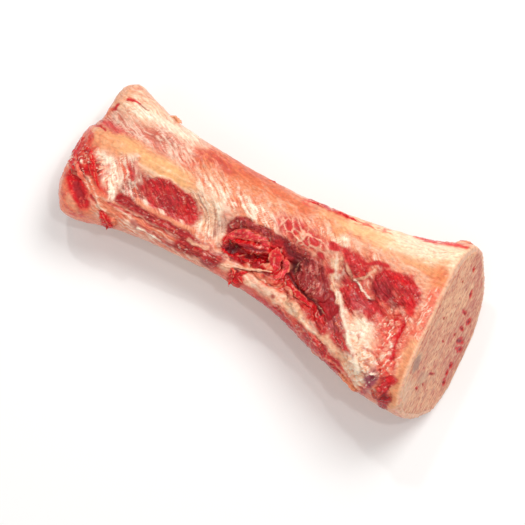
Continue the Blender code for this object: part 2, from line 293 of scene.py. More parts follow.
def seen_ray(along, across):
    """The viewer's place and the direction in which a place on the bone shows, in metres."""
    back, right, up = seen_directions()
    cosine, sine = math.cos(SEEN_TURN), math.sin(SEEN_TURN)
    middle = np.array((LINE_X, LINE_Y, SEEN_LEVEL))
    eye = middle + back * SEEN_DISTANCE
    shown = middle + right * (along * cosine + across * sine) + up * (across * cosine - along * sine)
    return Vector(eye) * MM, Vector(shown - eye).normalized()


class Surface:
    """The points of a piece, with the tone, relief and grain that are laid on them."""

    def __init__(self, mesh, tone, steepest=0.02):
        self.mesh = mesh
        self.points = read(mesh.vertices, "co") / MM
        self.out = read(mesh.vertex_normals, "vector")
        self.count = len(self.points)
        self.along, self.across = seen_places(self.points)
        facing = self.out @ seen_directions()[0]
        self.upper = smooth(steepest, steepest + 0.28, facing)
        self.shown = smooth(-0.16, 0.06, facing + 0.1 * clouds(self.points, 5.0, 2, 4))
        self.ragged = clouds(self.points, 7.0, 4, 3)
        self.along = self.along + 1.5 * clouds(self.points, 11.0, 3, 5)
        self.across = self.across + 1.5 * clouds(self.points, 11.0, 3, 6)
        self.tone = np.tile(np.array(tone), (self.count, 1))
        self.rise = np.zeros(self.count)
        self.wet = np.full(self.count, 0.45)
        self.fibre = np.full(self.count, 0.35)
        length = self.along / GRAIN_STRETCH
        self.grain = np.stack([length, self.across, self.points[:, 2] * 0.5], axis=1)

    def lay(self, mask, tone=None, rise=0.0, wet=None, fibre=None, grain=None):
        """Blends a tone, wetness, fibre or grain in where the mask is, and adds relief."""
        if tone is not None:
            self.tone += mask[:, None] * (np.array(tone) - self.tone)
        if wet is not None:
            self.wet += mask * (wet - self.wet)
        if fibre is not None:
            self.fibre += mask * (fibre - self.fibre)
        if grain is not None:
            self.grain = np.where((mask > 0.5)[:, None], self.grain_at(grain), self.grain)
        self.rise += mask * rise

    def grain_at(self, grain):
        """Grain coordinates of fibres at an angle in degrees, or round a pole (along, across)."""
        if isinstance(grain, tuple):
            ahead, aside = self.along - grain[0], self.across - grain[1]
            radius = np.hypot(ahead, aside)
            return np.stack([np.arctan2(aside, ahead) * 4.0, radius, np.zeros(self.count)], axis=1)
        cosine, sine = math.cos(math.radians(grain)), math.sin(math.radians(grain))
        length = self.along * cosine + self.across * sine
        width = -self.along * sine + self.across * cosine
        return np.stack([length / GRAIN_STRETCH, width, np.zeros(self.count)], axis=1)

    def spot(self, middle, half_length, half_width, turn=0.0, soft=0.3, rough=0.26):
        """Mask of an oval patch with a ragged edge."""
        cosine, sine = math.cos(math.radians(turn)), math.sin(math.radians(turn))
        ahead, aside = self.along - middle[0], self.across - middle[1]
        length = (ahead * cosine + aside * sine) / half_length
        width = (-ahead * sine + aside * cosine) / half_width
        return smooth(1 + soft, 1 - soft, np.hypot(length, width) + rough * self.ragged) * self.upper

    def line(self, route, half_width, soft=0.5, rough=0.35):
        """Mask of a band along straight runs between the route's places."""
        nearest = np.full(self.count, 1e6)
        for start, end in zip(route[:-1], route[1:]):
            run = (end[0] - start[0], end[1] - start[1])
            ahead, aside = self.along - start[0], self.across - start[1]
            share = np.clip((ahead * run[0] + aside * run[1]) / (run[0] ** 2 + run[1] ** 2), 0, 1)
            nearest = np.minimum(nearest, np.hypot(ahead - share * run[0], aside - share * run[1]))
        return smooth(1 + soft, 1 - soft, nearest / half_width + rough * self.ragged) * self.upper

    def strands(self, mask, grain, spacing, length=3.0, tone=None, amount=0.7, rise=0.2, thin=0.45, seed=1):
        """Lays strands that run with a grain, as thin as that share of their spacing."""
        inside = np.flatnonzero(mask > 0.01)
        place = self.grain_at(grain)[inside] * np.array((1 / length, 1 / spacing, 0.0))
        place += 0.25 * self.ragged[inside, None] * np.array((1.0, 1.0, 0.0))
        wave = value_noise(place, seed) + 0.5 * value_noise(place * 2.1 + 7.0, seed + 1)
        strand = np.zeros(self.count)
        strand[inside] = smooth(thin, thin * 0.3, np.abs(wave)) * mask[inside]
        self.lay(strand * amount, tone, rise / max(amount, 0.01))

    def mottle(self, mask, size, tone, amount=0.5, cut=0.1, rise=0.0, seed=21):
        """Lays soft blotches of a tone."""
        inside = np.flatnonzero(mask > 0.01)
        blotch = np.zeros(self.count)
        blotch[inside] = smooth(cut, cut + 0.45, clouds(self.points[inside], size, 3, seed)) * mask[inside]
        self.lay(blotch * amount, tone, rise)

    def lumps(self, mask, size, height, tone, amount=0.5, seed=31):
        """Swells a patch in rounded lumps, with a darker tone painted as shade in the creases where they
        meet.
        """
        inside = np.flatnonzero(mask > 0.01)
        place = self.points[inside] + 0.25 * size * self.ragged[inside, None]
        first, second, number = cells(place, size, seed)
        edge = np.zeros(self.count)
        edge[inside] = smooth(0.22, 0.02, second - first) * mask[inside]
        swell = np.zeros(self.count)
        swell[inside] = (smooth(0.0, 0.5, second - first) - 0.5 + 0.5 * (number - 0.5)) * mask[inside]
        # The creases between the lumps get the given tone, mostly a darker red: painted shade
        self.lay(edge * amount, tone)
        self.rise += swell * height

    def netting(self, mask, size, tone, amount=0.9, rise=0.4, width=0.13, seed=33, turn=0.0):
        """Lays a web of thin pale walls round cells, stretched along that angle."""
        inside = np.flatnonzero(mask > 0.01)
        place = self.grain_at(turn)[inside] * np.array((GRAIN_STRETCH * 0.6, 1.0, 0.0))
        first, second, _ = cells(place + 0.3 * self.ragged[inside, None], size, seed)
        wall = np.zeros(self.count)
        wall[inside] = smooth(width * 1.7, width * 0.5, second - first) * mask[inside]
        self.lay(wall * amount, tone, rise / amount)

    def wrinkles(self, mask, size, height, tone, amount=0.4, seed=35):
        """Folds a patch in wandering wrinkles, with a tone in their bottoms."""
        inside = np.flatnonzero(mask > 0.01)
        place = self.points[inside]
        bent = place + size * 0.5 * value_noise(place / size, seed)[:, None]
        wave = np.zeros(self.count)
        wave[inside] = 1 - 2 * np.abs(clouds(bent, size, 2, seed + 1))
        bottom = smooth(0.1, 0.9, wave) * mask
        self.lay(bottom * amount, tone)
        self.rise -= wave * mask * height * 0.5

    def finish(self):
        """Moves the points out by the relief and stores the tone, wetness, fibre and grain."""
        film = np.clip(self.wet, 0, 1) ** 2 * value_noise(self.points / FILM_RIPPLE, 351)
        moved = (self.points + self.out * (self.rise + FILM_RISE * film)[:, None]) * MM
        moved[:, 2] = np.maximum(moved[:, 2], FLOOR_GAP * MM)
        write(self.mesh.vertices, "co", moved)
        tone = np.concatenate([np.clip(self.tone, 0, 1), np.clip(self.wet, 0, 1)[:, None]], axis=1)
        for name, kind, field, values in (
            ("tone", "FLOAT_COLOR", "color", tone),
            ("grain", "FLOAT_VECTOR", "vector", self.grain),
            ("fibre", "FLOAT", "value", np.clip(self.fibre, 0, 1)),
        ):
            write(self.mesh.attributes.new(name, kind, "POINT").data, field, values)
        self.mesh.update()


# Meshes made from the CAD nodes


def add_object(name, data):
    """An object with that data, in the scene."""
    made = bpy.data.objects.new(name, data)
    bpy.context.scene.collection.objects.link(made)
    return made


def mesh_of(form, name):
    """A form's mesh, after which the form is freed."""
    data = bpy.data.meshes.new(name)
    form.to_mesh(data)
    form.free()
    return data


def merged_copy(name):
    """A form that copies a CAD node, with its loose triangles joined up."""
    mesh = bmesh.new()
    mesh.from_mesh(frame["nodes"][name].data)
    bmesh.ops.remove_doubles(mesh, verts=mesh.verts, dist=0.00001)
    bmesh.ops.recalc_face_normals(mesh, faces=mesh.faces)
    return mesh


def even_faces(form, name, voxel):
    """An object with a closed form's skin laid anew in even square faces, that size in millimetres."""
    rough = mesh_of(form, name)
    made = add_object(name, rough)
    remesh = made.modifiers.new("even faces", "REMESH")
    remesh.mode = "VOXEL"
    remesh.voxel_size = voxel * MM
    bpy.context.view_layer.update()
    evaluated = made.evaluated_get(bpy.context.evaluated_depsgraph_get())
    made.data = bpy.data.meshes.new_from_object(evaluated)
    made.data.name = name
    made.modifiers.clear()
    bpy.data.meshes.remove(rough)
    made.data.shade_smooth()
    return made


def relax(mesh, rounds, flat=None):
    """Evens out a mesh's points, and leaves those that are flat in the saw's plane."""
    points = read(mesh.vertices, "co")
    edges = np.empty(len(mesh.edges) * 2, np.int32)
    mesh.edges.foreach_get("vertices", edges)
    first, second = edges.reshape(-1, 2).T
    count = len(points)
    ways = np.bincount(first, minlength=count) + np.bincount(second, minlength=count)
    for _ in range(rounds):
        mean = np.empty_like(points)
        for axis in range(3):
            there = np.bincount(first, points[second, axis], count)
            mean[:, axis] = (there + np.bincount(second, points[first, axis], count)) / ways
        step = (mean - points) * 0.6
        if flat is not None:
            step[flat] -= (step[flat] @ SAW_WAY)[:, None] * SAW_WAY
        points = points + step
    write(mesh.vertices, "co", points)
    mesh.update()


def above_saw(points):
    """How far points stand beyond the saw cut's plane, in millimetres."""
    return (points - np.array(SAW_TOP)) @ SAW_WAY


def cut_points(mesh, depth):
    """Which of a mesh's points lie on the saw cut, or no deeper than that below it."""
    height = above_saw(read(mesh.vertices, "co") / MM)
    outwards = read(mesh.vertex_normals, "vector") @ SAW_WAY
    return (height > -depth) & (outwards > 0.25)


def closed_bone():
    """The bone without its inside: the inner wall is taken away and the saw cut closed over."""
    inside = BVHTree.FromBMesh(merged_copy("spongy_bone"))
    mesh = merged_copy("bone")
    inner = []
    for vert in mesh.verts:
        near = inside.find_nearest(vert.co)[3]
        if near < 1.0 * MM and (vert.co / MM - SAW_TOP).dot(SAW_OUT) < -0.05:
            inner.append(vert)
    bmesh.ops.delete(mesh, geom=inner, context="VERTS")
    bmesh.ops.holes_fill(mesh, edges=mesh.edges, sides=0)
    bmesh.ops.recalc_face_normals(mesh, faces=mesh.faces)
    return mesh


def smooth_bone(name, voxel, rounds):
    """The bone's closed form with its facets smoothed away, flat at the saw cut."""
    made = even_faces(closed_bone(), name, voxel)
    relax(made.data, rounds, flat=cut_points(made.data, CUT_DEPTH * voxel))
    return made


def split_upper(mesh):
    """Splits the faces that show from above in four, for finer detail there."""
    fine = bmesh.new()
    fine.from_mesh(mesh)
    back = Vector(seen_directions()[0])
    upper = {face for face in fine.faces if face.normal.dot(back) > 0.2}
    edges = list({edge for face in upper for edge in face.edges})
    bmesh.ops.subdivide_edges(fine, edges=edges, cuts=1, use_grid_fill=True)
    fine.to_mesh(mesh)
    fine.free()
    mesh.shade_smooth()


# What lies where on the bone. Places are (along, across) in millimetres, as seen from above,
# and each pattern has its own seed


def muscle(skin, tone, mask, base, grain, seed, dark=0.6, pale=0.5):
    """Wet muscle with dark and pale fibres along its grain, soft dark blotches, and short white dashes that
    are painted glints of its wet film.
    """
    skin.lay(mask, base, 0.0, 0.95, 0.9, grain)
    skin.mottle(mask, 7, tone.dark_red, 0.6 * dark, 0.0, -0.2, seed)
    skin.strands(mask, grain, 1.7, 3.5, tone.dark_red * 0.8, dark, -0.35, 0.32, seed + 1)
    skin.strands(mask, grain, 2.0, 2.5, tone.salmon, pale, 0.3, 0.2, seed + 2)
    # Short thin white dashes along the grain: painted glints of light on the wet film
    skin.strands(mask, grain, 2.8, 1.4, tone.white, pale * 0.7, 0.2, 0.06, seed + 3)


def sinew(skin, tone, mask, grain, seed, white=0.8, red=0.4, spacing=1.6):
    """Fine white threads along a grain, with redder furrows between them."""
    skin.strands(mask, grain, spacing * 1.5, 3.5, tone.salmon, red, -0.25, 0.3, seed)
    skin.strands(mask, grain, spacing, 4.0, tone.white * 1.06, white, 0.3, 0.42, seed + 1)
    skin.lay(mask, fibre=0.9, grain=grain)


def paint_everywhere(skin, tone):
    """The skin of the bone: cream and orange, with a thin torn membrane and streaks along it."""
    everywhere = np.ones(skin.count)
    skin.mottle(everywhere, 24, tone.orange, 0.6, 0.0, 0.0, 41)
    skin.mottle(everywhere, 15, tone.salmon, 0.6, 0.05, 0.0, 43)
    skin.mottle(everywhere, 10, tone.cream, 0.5, 0.15, 0.15, 45)
    skin.strands(everywhere, 0, 2.0, 7, tone.white, 0.45, 0.15, 0.4, 47)
    skin.strands(everywhere, 0, 3.0, 9, tone.salmon, 0.4, -0.12, 0.35, 49)
    skin.mottle(everywhere, 7, tone.red, 0.35, 0.42, -0.1, 51)
    hidden = smooth(0.1, -0.5, skin.out @ seen_directions()[0])
    skin.lay(hidden * 0.45, tone.cream * (0.95, 0.8, 0.75))
    skin.mottle(hidden, 34, tone.tan, 0.75, 0.0, 0.0, 44)
    skin.mottle(hidden, 22, tone.mauve * (1.2, 1.1, 1.0), 0.6, 0.1, 0.0, 46)
    skin.mottle(hidden, 12, tone.cream * 1.05, 0.6, 0.0, 0.2, 48)
    skin.mottle(hidden, 9, tone.red * 1.15, 0.7, 0.35, -0.2, 50)
    skin.strands(hidden, (60, -160), 2.6, 5, tone.white, 0.4, 0.15, 0.22, 52)


def paint_knob(skin, tone):
    """Knob, cream edge and mauve valley of the joint, down to its smooth yellow ridge."""
    skin.lay(skin.spot((-123, 63), 20, 14, -25, 0.5), tone.knob, 0.3, 0.45)
    sinew(skin, tone, skin.spot((-123, 62), 17, 9, -20, 0.5), -8, 53, 0.4, 0.45)
    cream = skin.line([(-120, 54), (-110, 55), (-85, 53), (-60, 50)], 7, 0.8)
    skin.lay(cream, tone.cream * 1.05, 0.15, 0.45)
    sinew(skin, tone, cream, -18, 55, 0.9, 0.45)
    skin.lay(skin.line([(-114, 55), (-90, 55), (-66, 52)], 2.6, 0.9) * 0.7, tone.white, 0.2)
    skin.lay(skin.line([(-120, 65), (-100, 61), (-92, 59.5)], 1.6, 0.9) * 0.6, tone.knob, 0.1)
    skin.lay(
        skin.line([(-128, 59.2), (-124, 59.4), (-119, 58.8)], 0.8, 0.5, 0.5),
        tone.red * 1.15, -0.4, 0.7,
    )
    skin.lay(skin.line([(-119, 58.6), (-113, 57)], 0.5, 0.7, 0.5) * 0.8, tone.brown, -0.3, 0.6)
    valley = skin.line([(-134, 42), (-122, 40), (-100, 43), (-80, 42), (-54, 39)], 7, 0.7)
    skin.lay(valley * 0.9, tone.mauve * (1.15, 1.1, 1.05), -0.2, 0.5)
    skin.lay(skin.spot((-96, 44.5), 11, 2.6, 4, 0.6) * 0.6, tone.brown * (1.2, 1.3, 1.3))
    skin.lay(skin.spot((-64, 41), 17, 11, -8, 0.7) * 0.75, tone.salmon * (1.15, 1.5, 1.4))
    sinew(skin, tone, valley, -26, 57, 0.55, 0.45)
    sinew(skin, tone, skin.spot((-68, 38), 18, 11, -8, 0.5), -36, 59, 0.55, 0.4)
    skin.lay(skin.spot((-56, 49), 9, 4.5, -5, 0.8) * 0.7, tone.salmon * (1.15, 1.7, 1.5))
    skin.lay(
        skin.line([(-134, 47.5), (-132, 49.5), (-131.4, 53)], 0.9, 0.6, 0.6),
        tone.red * 1.1, -0.4, 0.7,
    )
    ridge = skin.line([(-136, 28.5), (-118, 28.5), (-95, 27.5), (-72, 26), (-60, 25)], 6.4, 0.7, 0.16)
    skin.lay(ridge, tone.tan, 0.3, 0.45, 0.25)
    skin.lay(skin.line([(-118, 30), (-100, 30), (-80, 28.5)], 3.2, 0.9) * 0.7, tone.tan * 1.13)
    skin.lay(skin.spot((-130, 28), 11, 5, -5, 0.8) * 0.6, tone.coral * (1.15, 2.4, 1.9))
    skin.lay(skin.spot((-130, 36.8), 12, 2.8, -3, 0.6) * 0.85, tone.red * (1.2, 2.6, 2.6), -0.2, 0.7)
    skin.strands(ridge, -6, 1.8, 7, tone.pale, 0.22, 0.1, 0.35, 61)
    skin.strands(ridge, -6, 2.6, 7, tone.orange, 0.25, -0.1, 0.3, 62)
    skin.lay(skin.line([(-104, 22), (-84, 22.4), (-64, 20.5)], 1.3, 0.7) * 0.8, tone.cream * 1.1, 0.2)
    skin.lay(skin.line([(-143, 33.4), (-138, 34), (-133.5, 33.2)], 0.9, 0.5, 0.4), tone.wet_red, -0.7, 0.9)
    skin.lay(
        skin.line([(-146, 30), (-141, 27), (-137, 24.5)], 1.4, 0.6, 0.7) * 0.85,
        tone.red * 1.2, -0.3, 0.9,
    )
    skin.lay(
        skin.line([(-146, 31), (-141, 39), (-136, 46)], 3.0, 0.6) * 0.8,
        tone.salmon * (1.25, 1.6, 1.4), 0, 0.8,
    )
    skin.lay(skin.line([(-146, 32), (-147, 20)], 4.0, 0.6) * 0.6, tone.coral * 1.15, 0, 0.9)


def paint_joint_flesh(skin, tone):
    """Torn flesh of the joint, the slit beside the condyle and the white tendon that ends there."""
    skin.lay(skin.spot((-128, 21), 13, 3.0, -8, 0.6) * 0.8, tone.knob * (1.0, 0.9, 0.85), 0, 0.6)
    tendon = skin.line([(-120, 13), (-115, 6), (-109, -3)], 6.6, 0.4)
    skin.lay(tendon, tone.white * 1.12, 0.3, 0.6, 0.9, -60)
    skin.strands(tendon, -60, 2.0, 5, tone.orange, 0.85, -0.5, 0.2, 65)
    skin.strands(tendon, -60, 3.4, 4, tone.red * 1.2, 0.75, -0.5, 0.11, 66)
    curved = skin.line([(-109, 20), (-104, 10), (-101, 1)], 6.5, 0.6)
    skin.lay(curved * 0.9, tone.salmon * (1.1, 1.2, 1.1), 0, 0.7, 0.9)
    skin.lay(
        skin.line([(-107, 17), (-103, 10), (-102, 4)], 2.6, 0.7, 0.6) * 0.85,
        tone.red * 1.2, -0.3, 0.9,
    )
    sinew(skin, tone, curved, -54, 67, 0.85, 0.3, 2.0)
    skin.strands(curved, -54, 2.8, 3, tone.red, 0.6, -0.2, 0.26, 69)

    skin.lay(skin.spot((-140, 7), 10, 19, 0, 0.5) * 0.9, tone.coral * (1.0, 0.75, 0.75), 0, 1.0)
    flesh = skin.spot((-135, 7), 13, 13, 0, 0.35, 0.4)
    skin.lay(flesh, tone.wet_red * 1.12, 0, 1.0, 0.2)
    skin.lay(skin.line([(-133, 6), (-126, 0), (-116, -6)], 4.4, 0.5, 0.5), tone.wet_red * 1.1, 0.1, 1.0)
    head = skin.line([(-127, 17.5), (-121, 12)], 3.6, 0.6, 0.5)
    skin.lay(head * 0.9, tone.white * 1.05, 0.2, 0.7, 0.9)
    skin.strands(head, -58, 2.2, 4, tone.orange, 0.7, -0.4, 0.2, 64)
    skin.lumps(flesh, 4.6, 1.3, tone.dark_red * 1.3, 0.6, 71)
    skin.mottle(flesh, 5, tone.coral * 1.2, 0.6, 0.1, 0.3, 72)
    # Thin pink and white strands and small white spots on the wet flesh: painted glints of light
    skin.strands(flesh, (-128, 20), 3.0, 2.5, tone.coral * (1.2, 3.5, 3.5), 0.9, 0.5, 0.08, 73)
    skin.strands(flesh, 70, 3.4, 1.6, tone.white * 1.1, 0.9, 0.5, 0.05, 74)
    skin.lay(skin.spot((-132.5, 13), 1.4, 2.4, 10, 0.5, 0.5), tone.white * 1.1, 0.9, 1.0)
    skin.lay(skin.spot((-137, 8), 1.0, 1.6, 40, 0.5, 0.5), tone.white * 1.1, 0.6, 1.0)
    skin.lay(skin.spot((-127, -1.5), 0.7, 1.6, 40, 0.5, 0.5), tone.white * 1.1, 0.5, 1.0)
    # Wet red rim at the joint's left edge, with thin white strands that are painted glints
    rim = skin.spot((-144.5, 9), 3.0, 9, 0, 0.5)
    skin.lay(rim, tone.wet_red * 1.2, 0.1, 1.0)
    skin.strands(rim, 80, 2.2, 2.0, tone.white * 1.1, 0.9, 0.3, 0.14, 70)
    condyle = skin.line([(-146, -6), (-143, -18), (-134, -25), (-120, -26)], 7.0, 0.6)
    skin.lay(condyle, tone.coral * (1.15, 1.75, 1.45), 0.2, 0.75, 0.2)
    skin.mottle(condyle, 7, tone.knob, 0.6, 0.0, 0, 75)
    skin.mottle(condyle, 5, tone.red * 1.2, 0.7, 0.2, 0, 76)
    skin.lay(skin.spot((-120.5, -23.5), 3.0, 2.0, 20, 0.6, 0.6), tone.red * 1.15, 0.1, 0.9)
    band = skin.line([(-127, -4), (-118, -9), (-106, -15)], 5.2, 0.5)
    skin.lay(band, tone.coral * (1.1, 1.7, 1.5), 0.4, 0.85)
    skin.lay(
        skin.line([(-122, -19), (-114, -21), (-108, -22)], 3.6, 0.6),
        tone.coral * (1.1, 1.9, 1.6), 0.1, 0.8,
    )
    skin.strands(band, -36, 2.0, 4, tone.white, 0.7, 0.3, 0.26, 77)
    skin.lay(skin.line([(-122, -10), (-114, -15), (-104, -21)], 1.2, 0.5, 0.4), tone.red * 1.05, -0.6, 0.95)
    slit = [(-138.5, -4.5), (-132.5, -10.5), (-125, -17.5)]
    skin.lay(skin.line(slit, 5.2, 0.35, 0.3), tone.wet_red * 1.1, -0.5, 1.0)
    # Darker, sunk core of the slit: painted shade in its bottom
    skin.lay(
        skin.line([(-135, -8), (-130, -13), (-126, -17)], 2.2, 0.6, 0.3) * 0.9,
        tone.dark_red * 1.2, -1.0, 0.9,
    )
    skin.strands(skin.line(slit, 4.6, 0.4), -48, 3.0, 2.0, tone.coral * 1.3, 0.7, 0.3, 0.16, 79)


def paint_oval_side(skin, tone):
    """The oval of muscle below the yellow ridge, with the groove and the wet strip under it."""
    strip = skin.line([(-112, -15), (-100, -14.5), (-70, -14), (-40, -16)], 6.2, 0.5)
    skin.lay(strip, tone.coral * (1.05, 2.0, 1.75), 0.1, 0.8)
    skin.mottle(strip, 9, tone.salmon * 1.1, 0.6, 0.05, 0, 81)
    sinew(skin, tone, strip, -8, 83, 0.55, 0.5, 1.9)
    skin.lay(skin.line([(-108, -9.5), (-80, -10.5), (-52, -11)], 0.7, 0.7, 0.5) * 0.8, tone.red, -0.5)
    skin.lay(
        skin.line([(-88, -14), (-74, -15.5), (-56, -16)], 2.0, 0.6, 0.6) * 0.7,
        tone.plum * 1.3, 0.3, 1.0,
    )
    # Thin broken white line on the wet strip: painted glints
    skin.lay(
        skin.line([(-84, -15.5), (-76, -16.5), (-66, -16.4)], 0.55, 0.6, 1.0),
        tone.white * 1.12, 0.5, 1.0,
    )
    brown = skin.spot((-95, 7), 9.5, 12.5, -35, 0.35)
    muscle(skin, tone, brown * 0.9, tone.brown * 1.1, -48, 85, 0.5, 0.8)
    sinew(skin, tone, brown, -50, 89, 0.6, 0.3, 2.4)
    skin.strands(
        skin.line([(-107, 20), (-102, 10), (-100, 2)], 4.2, 0.5),
        -56, 2.4, 4, tone.red * 1.2, 0.85, -0.2, 0.34, 90,
    )
    oval = skin.spot((-73, 10), 22.5, 11.6, -8, 0.13, 0.16)
    muscle(skin, tone, oval, tone.red * 1.16, -42, 91, 0.55, 0.55)
    skin.lay(skin.spot((-72, 8), 11, 7, -20, 0.7) * 0.45, tone.dark_red * (1.1, 2, 2))
    skin.lay(skin.spot((-60, 8), 6, 7, -30, 0.7) * 0.6, tone.wet_red)
    skin.lay(skin.spot((-82, 16), 9, 4, 5, 0.7) * 0.5, tone.wet_red)
    skin.lay(
        skin.line([(-94, 1), (-82, -0.5), (-70, -1.8), (-54, -2.6)], 1.7, 0.6, 0.7) * 0.85,
        tone.coral * (1.1, 2.4, 2.1), 0.5, 0.8,
    )
    # Small raised lumps under the oval, whitened as painted highlights
    skin.lay(skin.spot((-87, 2.6), 3.6, 1.5, -35, 0.6, 1.0) * 0.8, tone.white * 1.1, 0.7, 1.0)
    skin.lay(skin.spot((-74.5, 0.8), 2.6, 0.9, -20, 0.6, 1.0) * 0.75, tone.white * 1.1, 0.7, 1.0)
    skin.lay(skin.spot((-61, 0.5), 2.2, 0.8, -20, 0.6, 1.0) * 0.7, tone.white * 1.1, 0.6, 1.0)
    groove = skin.line([(-104, -3.5), (-92, -4.8), (-70, -6.3), (-44, -8)], 3.0, 0.4)
    muscle(skin, tone, groove, tone.red * 0.92, -5, 95, 0.6, 0.6)
    skin.lay(skin.line([(-103, -3.5), (-94, -5), (-85, -6)], 2.5, 0.6) * 0.7, tone.dark_red * 1.15, -0.7)
    skin.lay(skin.spot((-104, -21), 6, 6, 60) * 0.9, tone.coral * (1.05, 1.8, 1.6), 0, 0.95)
    skin.lay(
        skin.line([(-110, -17.5), (-106, -20), (-102.5, -25)], 2.3, 0.4, 0.4),
        tone.wet_red * 1.05, 0.3, 1.0,
    )


def paint_waist(skin, tone):
    """Tendon fan, orange upper side and streaked fibres between the two ends."""
    high = skin.line([(-64, 46), (-40, 47), (-14, 46)], 8, 0.8)
    skin.lay(high * 0.95, tone.salmon * (0.92, 0.8, 0.85), 0, 0.5)
    skin.mottle(high, 9, tone.red, 0.3, 0.2, 0, 101)
    skin.strands(high, -12, 2.0, 6, tone.orange * (1, 0.85, 0.8), 0.6, 0.15, 0.36, 102)
    upper = skin.line([(-34, 40), (10, 42), (60, 42)], 8, 0.8)
    skin.lay(upper, tone.orange * (0.92, 0.66, 0.62), 0.1, 0.45)
    skin.lay(skin.line([(24, 45), (45, 46), (70, 47)], 4.5, 0.9) * 0.85, tone.tan * 1.1, 0.2)
    skin.strands(upper, -6, 2.0, 8, tone.cream, 0.3, 0.1, 0.24, 103)
    skin.strands(upper, -6, 2.8, 7, tone.salmon, 0.35, -0.1, 0.26, 104)
    skin.lay(skin.line([(0, 35.5), (24, 36.5), (44, 37)], 2.6, 0.8) * 0.6, tone.cream, 0.1)
    fibres = skin.line([(-56, 31), (-22, 29), (4, 29), (34, 35)], 8.5, 0.7)
    skin.lay(fibres * 0.9, tone.coral * (1.0, 1.7, 1.35), 0, 0.6, 0.9)
    sinew(skin, tone, fibres, -38, 105, 0.9, 0.45)
    skin.strands(
        skin.line([(-50, 25), (-20, 25), (0, 25)], 5.5, 0.7),
        -38, 2.2, 5, tone.white * 1.1, 0.85, 0.35, 0.34, 107,
    )
    skin.strands(fibres, -38, 2.4, 4, tone.orange, 0.55, -0.3, 0.2, 108)
    skin.lay(skin.line([(-62, 38), (-30, 38), (2, 38.5)], 4.2, 0.9) * 0.6, tone.orange * (0.95, 0.85, 0.8))
    skin.strands(
        skin.line([(-62, 38), (-30, 38), (2, 38.5)], 5, 0.9),
        -36, 2.0, 4, tone.white, 0.4, 0.15, 0.2, 115,
    )
    fan = skin.spot((-48, 9), 20, 14, -52, 0.4)
    skin.lay(fan, tone.cream * (1.02, 1.02, 1.0), 0.2, 0.6, 0.9)
    sinew(skin, tone, fan, (-78, -12), 109, 1.0, 0.4, 1.8)
    skin.strands(fan, (-78, -12), 3.0, 2.5, tone.brown, 0.6, -0.45, 0.18, 111)
    skin.strands(fan, (-78, -12), 2.2, 3.0, tone.orange, 0.6, -0.3, 0.2, 113)
    skin.lay(
        skin.line([(-58, -2), (-44, -3.5), (-32, -4)], 3.6, 0.7) * 0.8,
        tone.coral * (1.05, 1.7, 1.4), 0, 0.8,
    )
    skin.strands(skin.line([(-58, -2), (-32, -4)], 3.4, 0.7), -30, 2.0, 3, tone.white, 0.7, 0.3, 0.2, 116)
    # Grey patch where the fan dips into the hollow: painted shade
    skin.lay(skin.spot((-35, 9), 3.6, 8, -14, 0.6) * 0.5, tone.grey * (1.2, 1.15, 1.15), 0.1, 0.6)
    skin.strands(
        skin.spot((-36, 9), 5, 10, -12),
        (-78, -12), 1.8, 2.5, tone.brown * 0.8, 0.5, -0.3, 0.2, 112,
    )
    for route in (
        [(10, 51), (18, 52), (25, 50.5)],
        [(28, 51.5), (40, 51), (48, 52)],
        [(-20, 53), (-14, 53)],
    ):
        skin.lay(skin.line(route, 1.2, 0.5, 0.8) * skin.shown, tone.red * 1.1, 0.4, 0.8)
    skin.strands(
        skin.line([(8, 50.5), (52, 52), (72, 55)], 2.6, 0.6) * skin.shown,
        2, 2.2, 4, tone.coral * (1, 0.8, 0.8), 0.85, 0.1, 0.3, 114,
    )


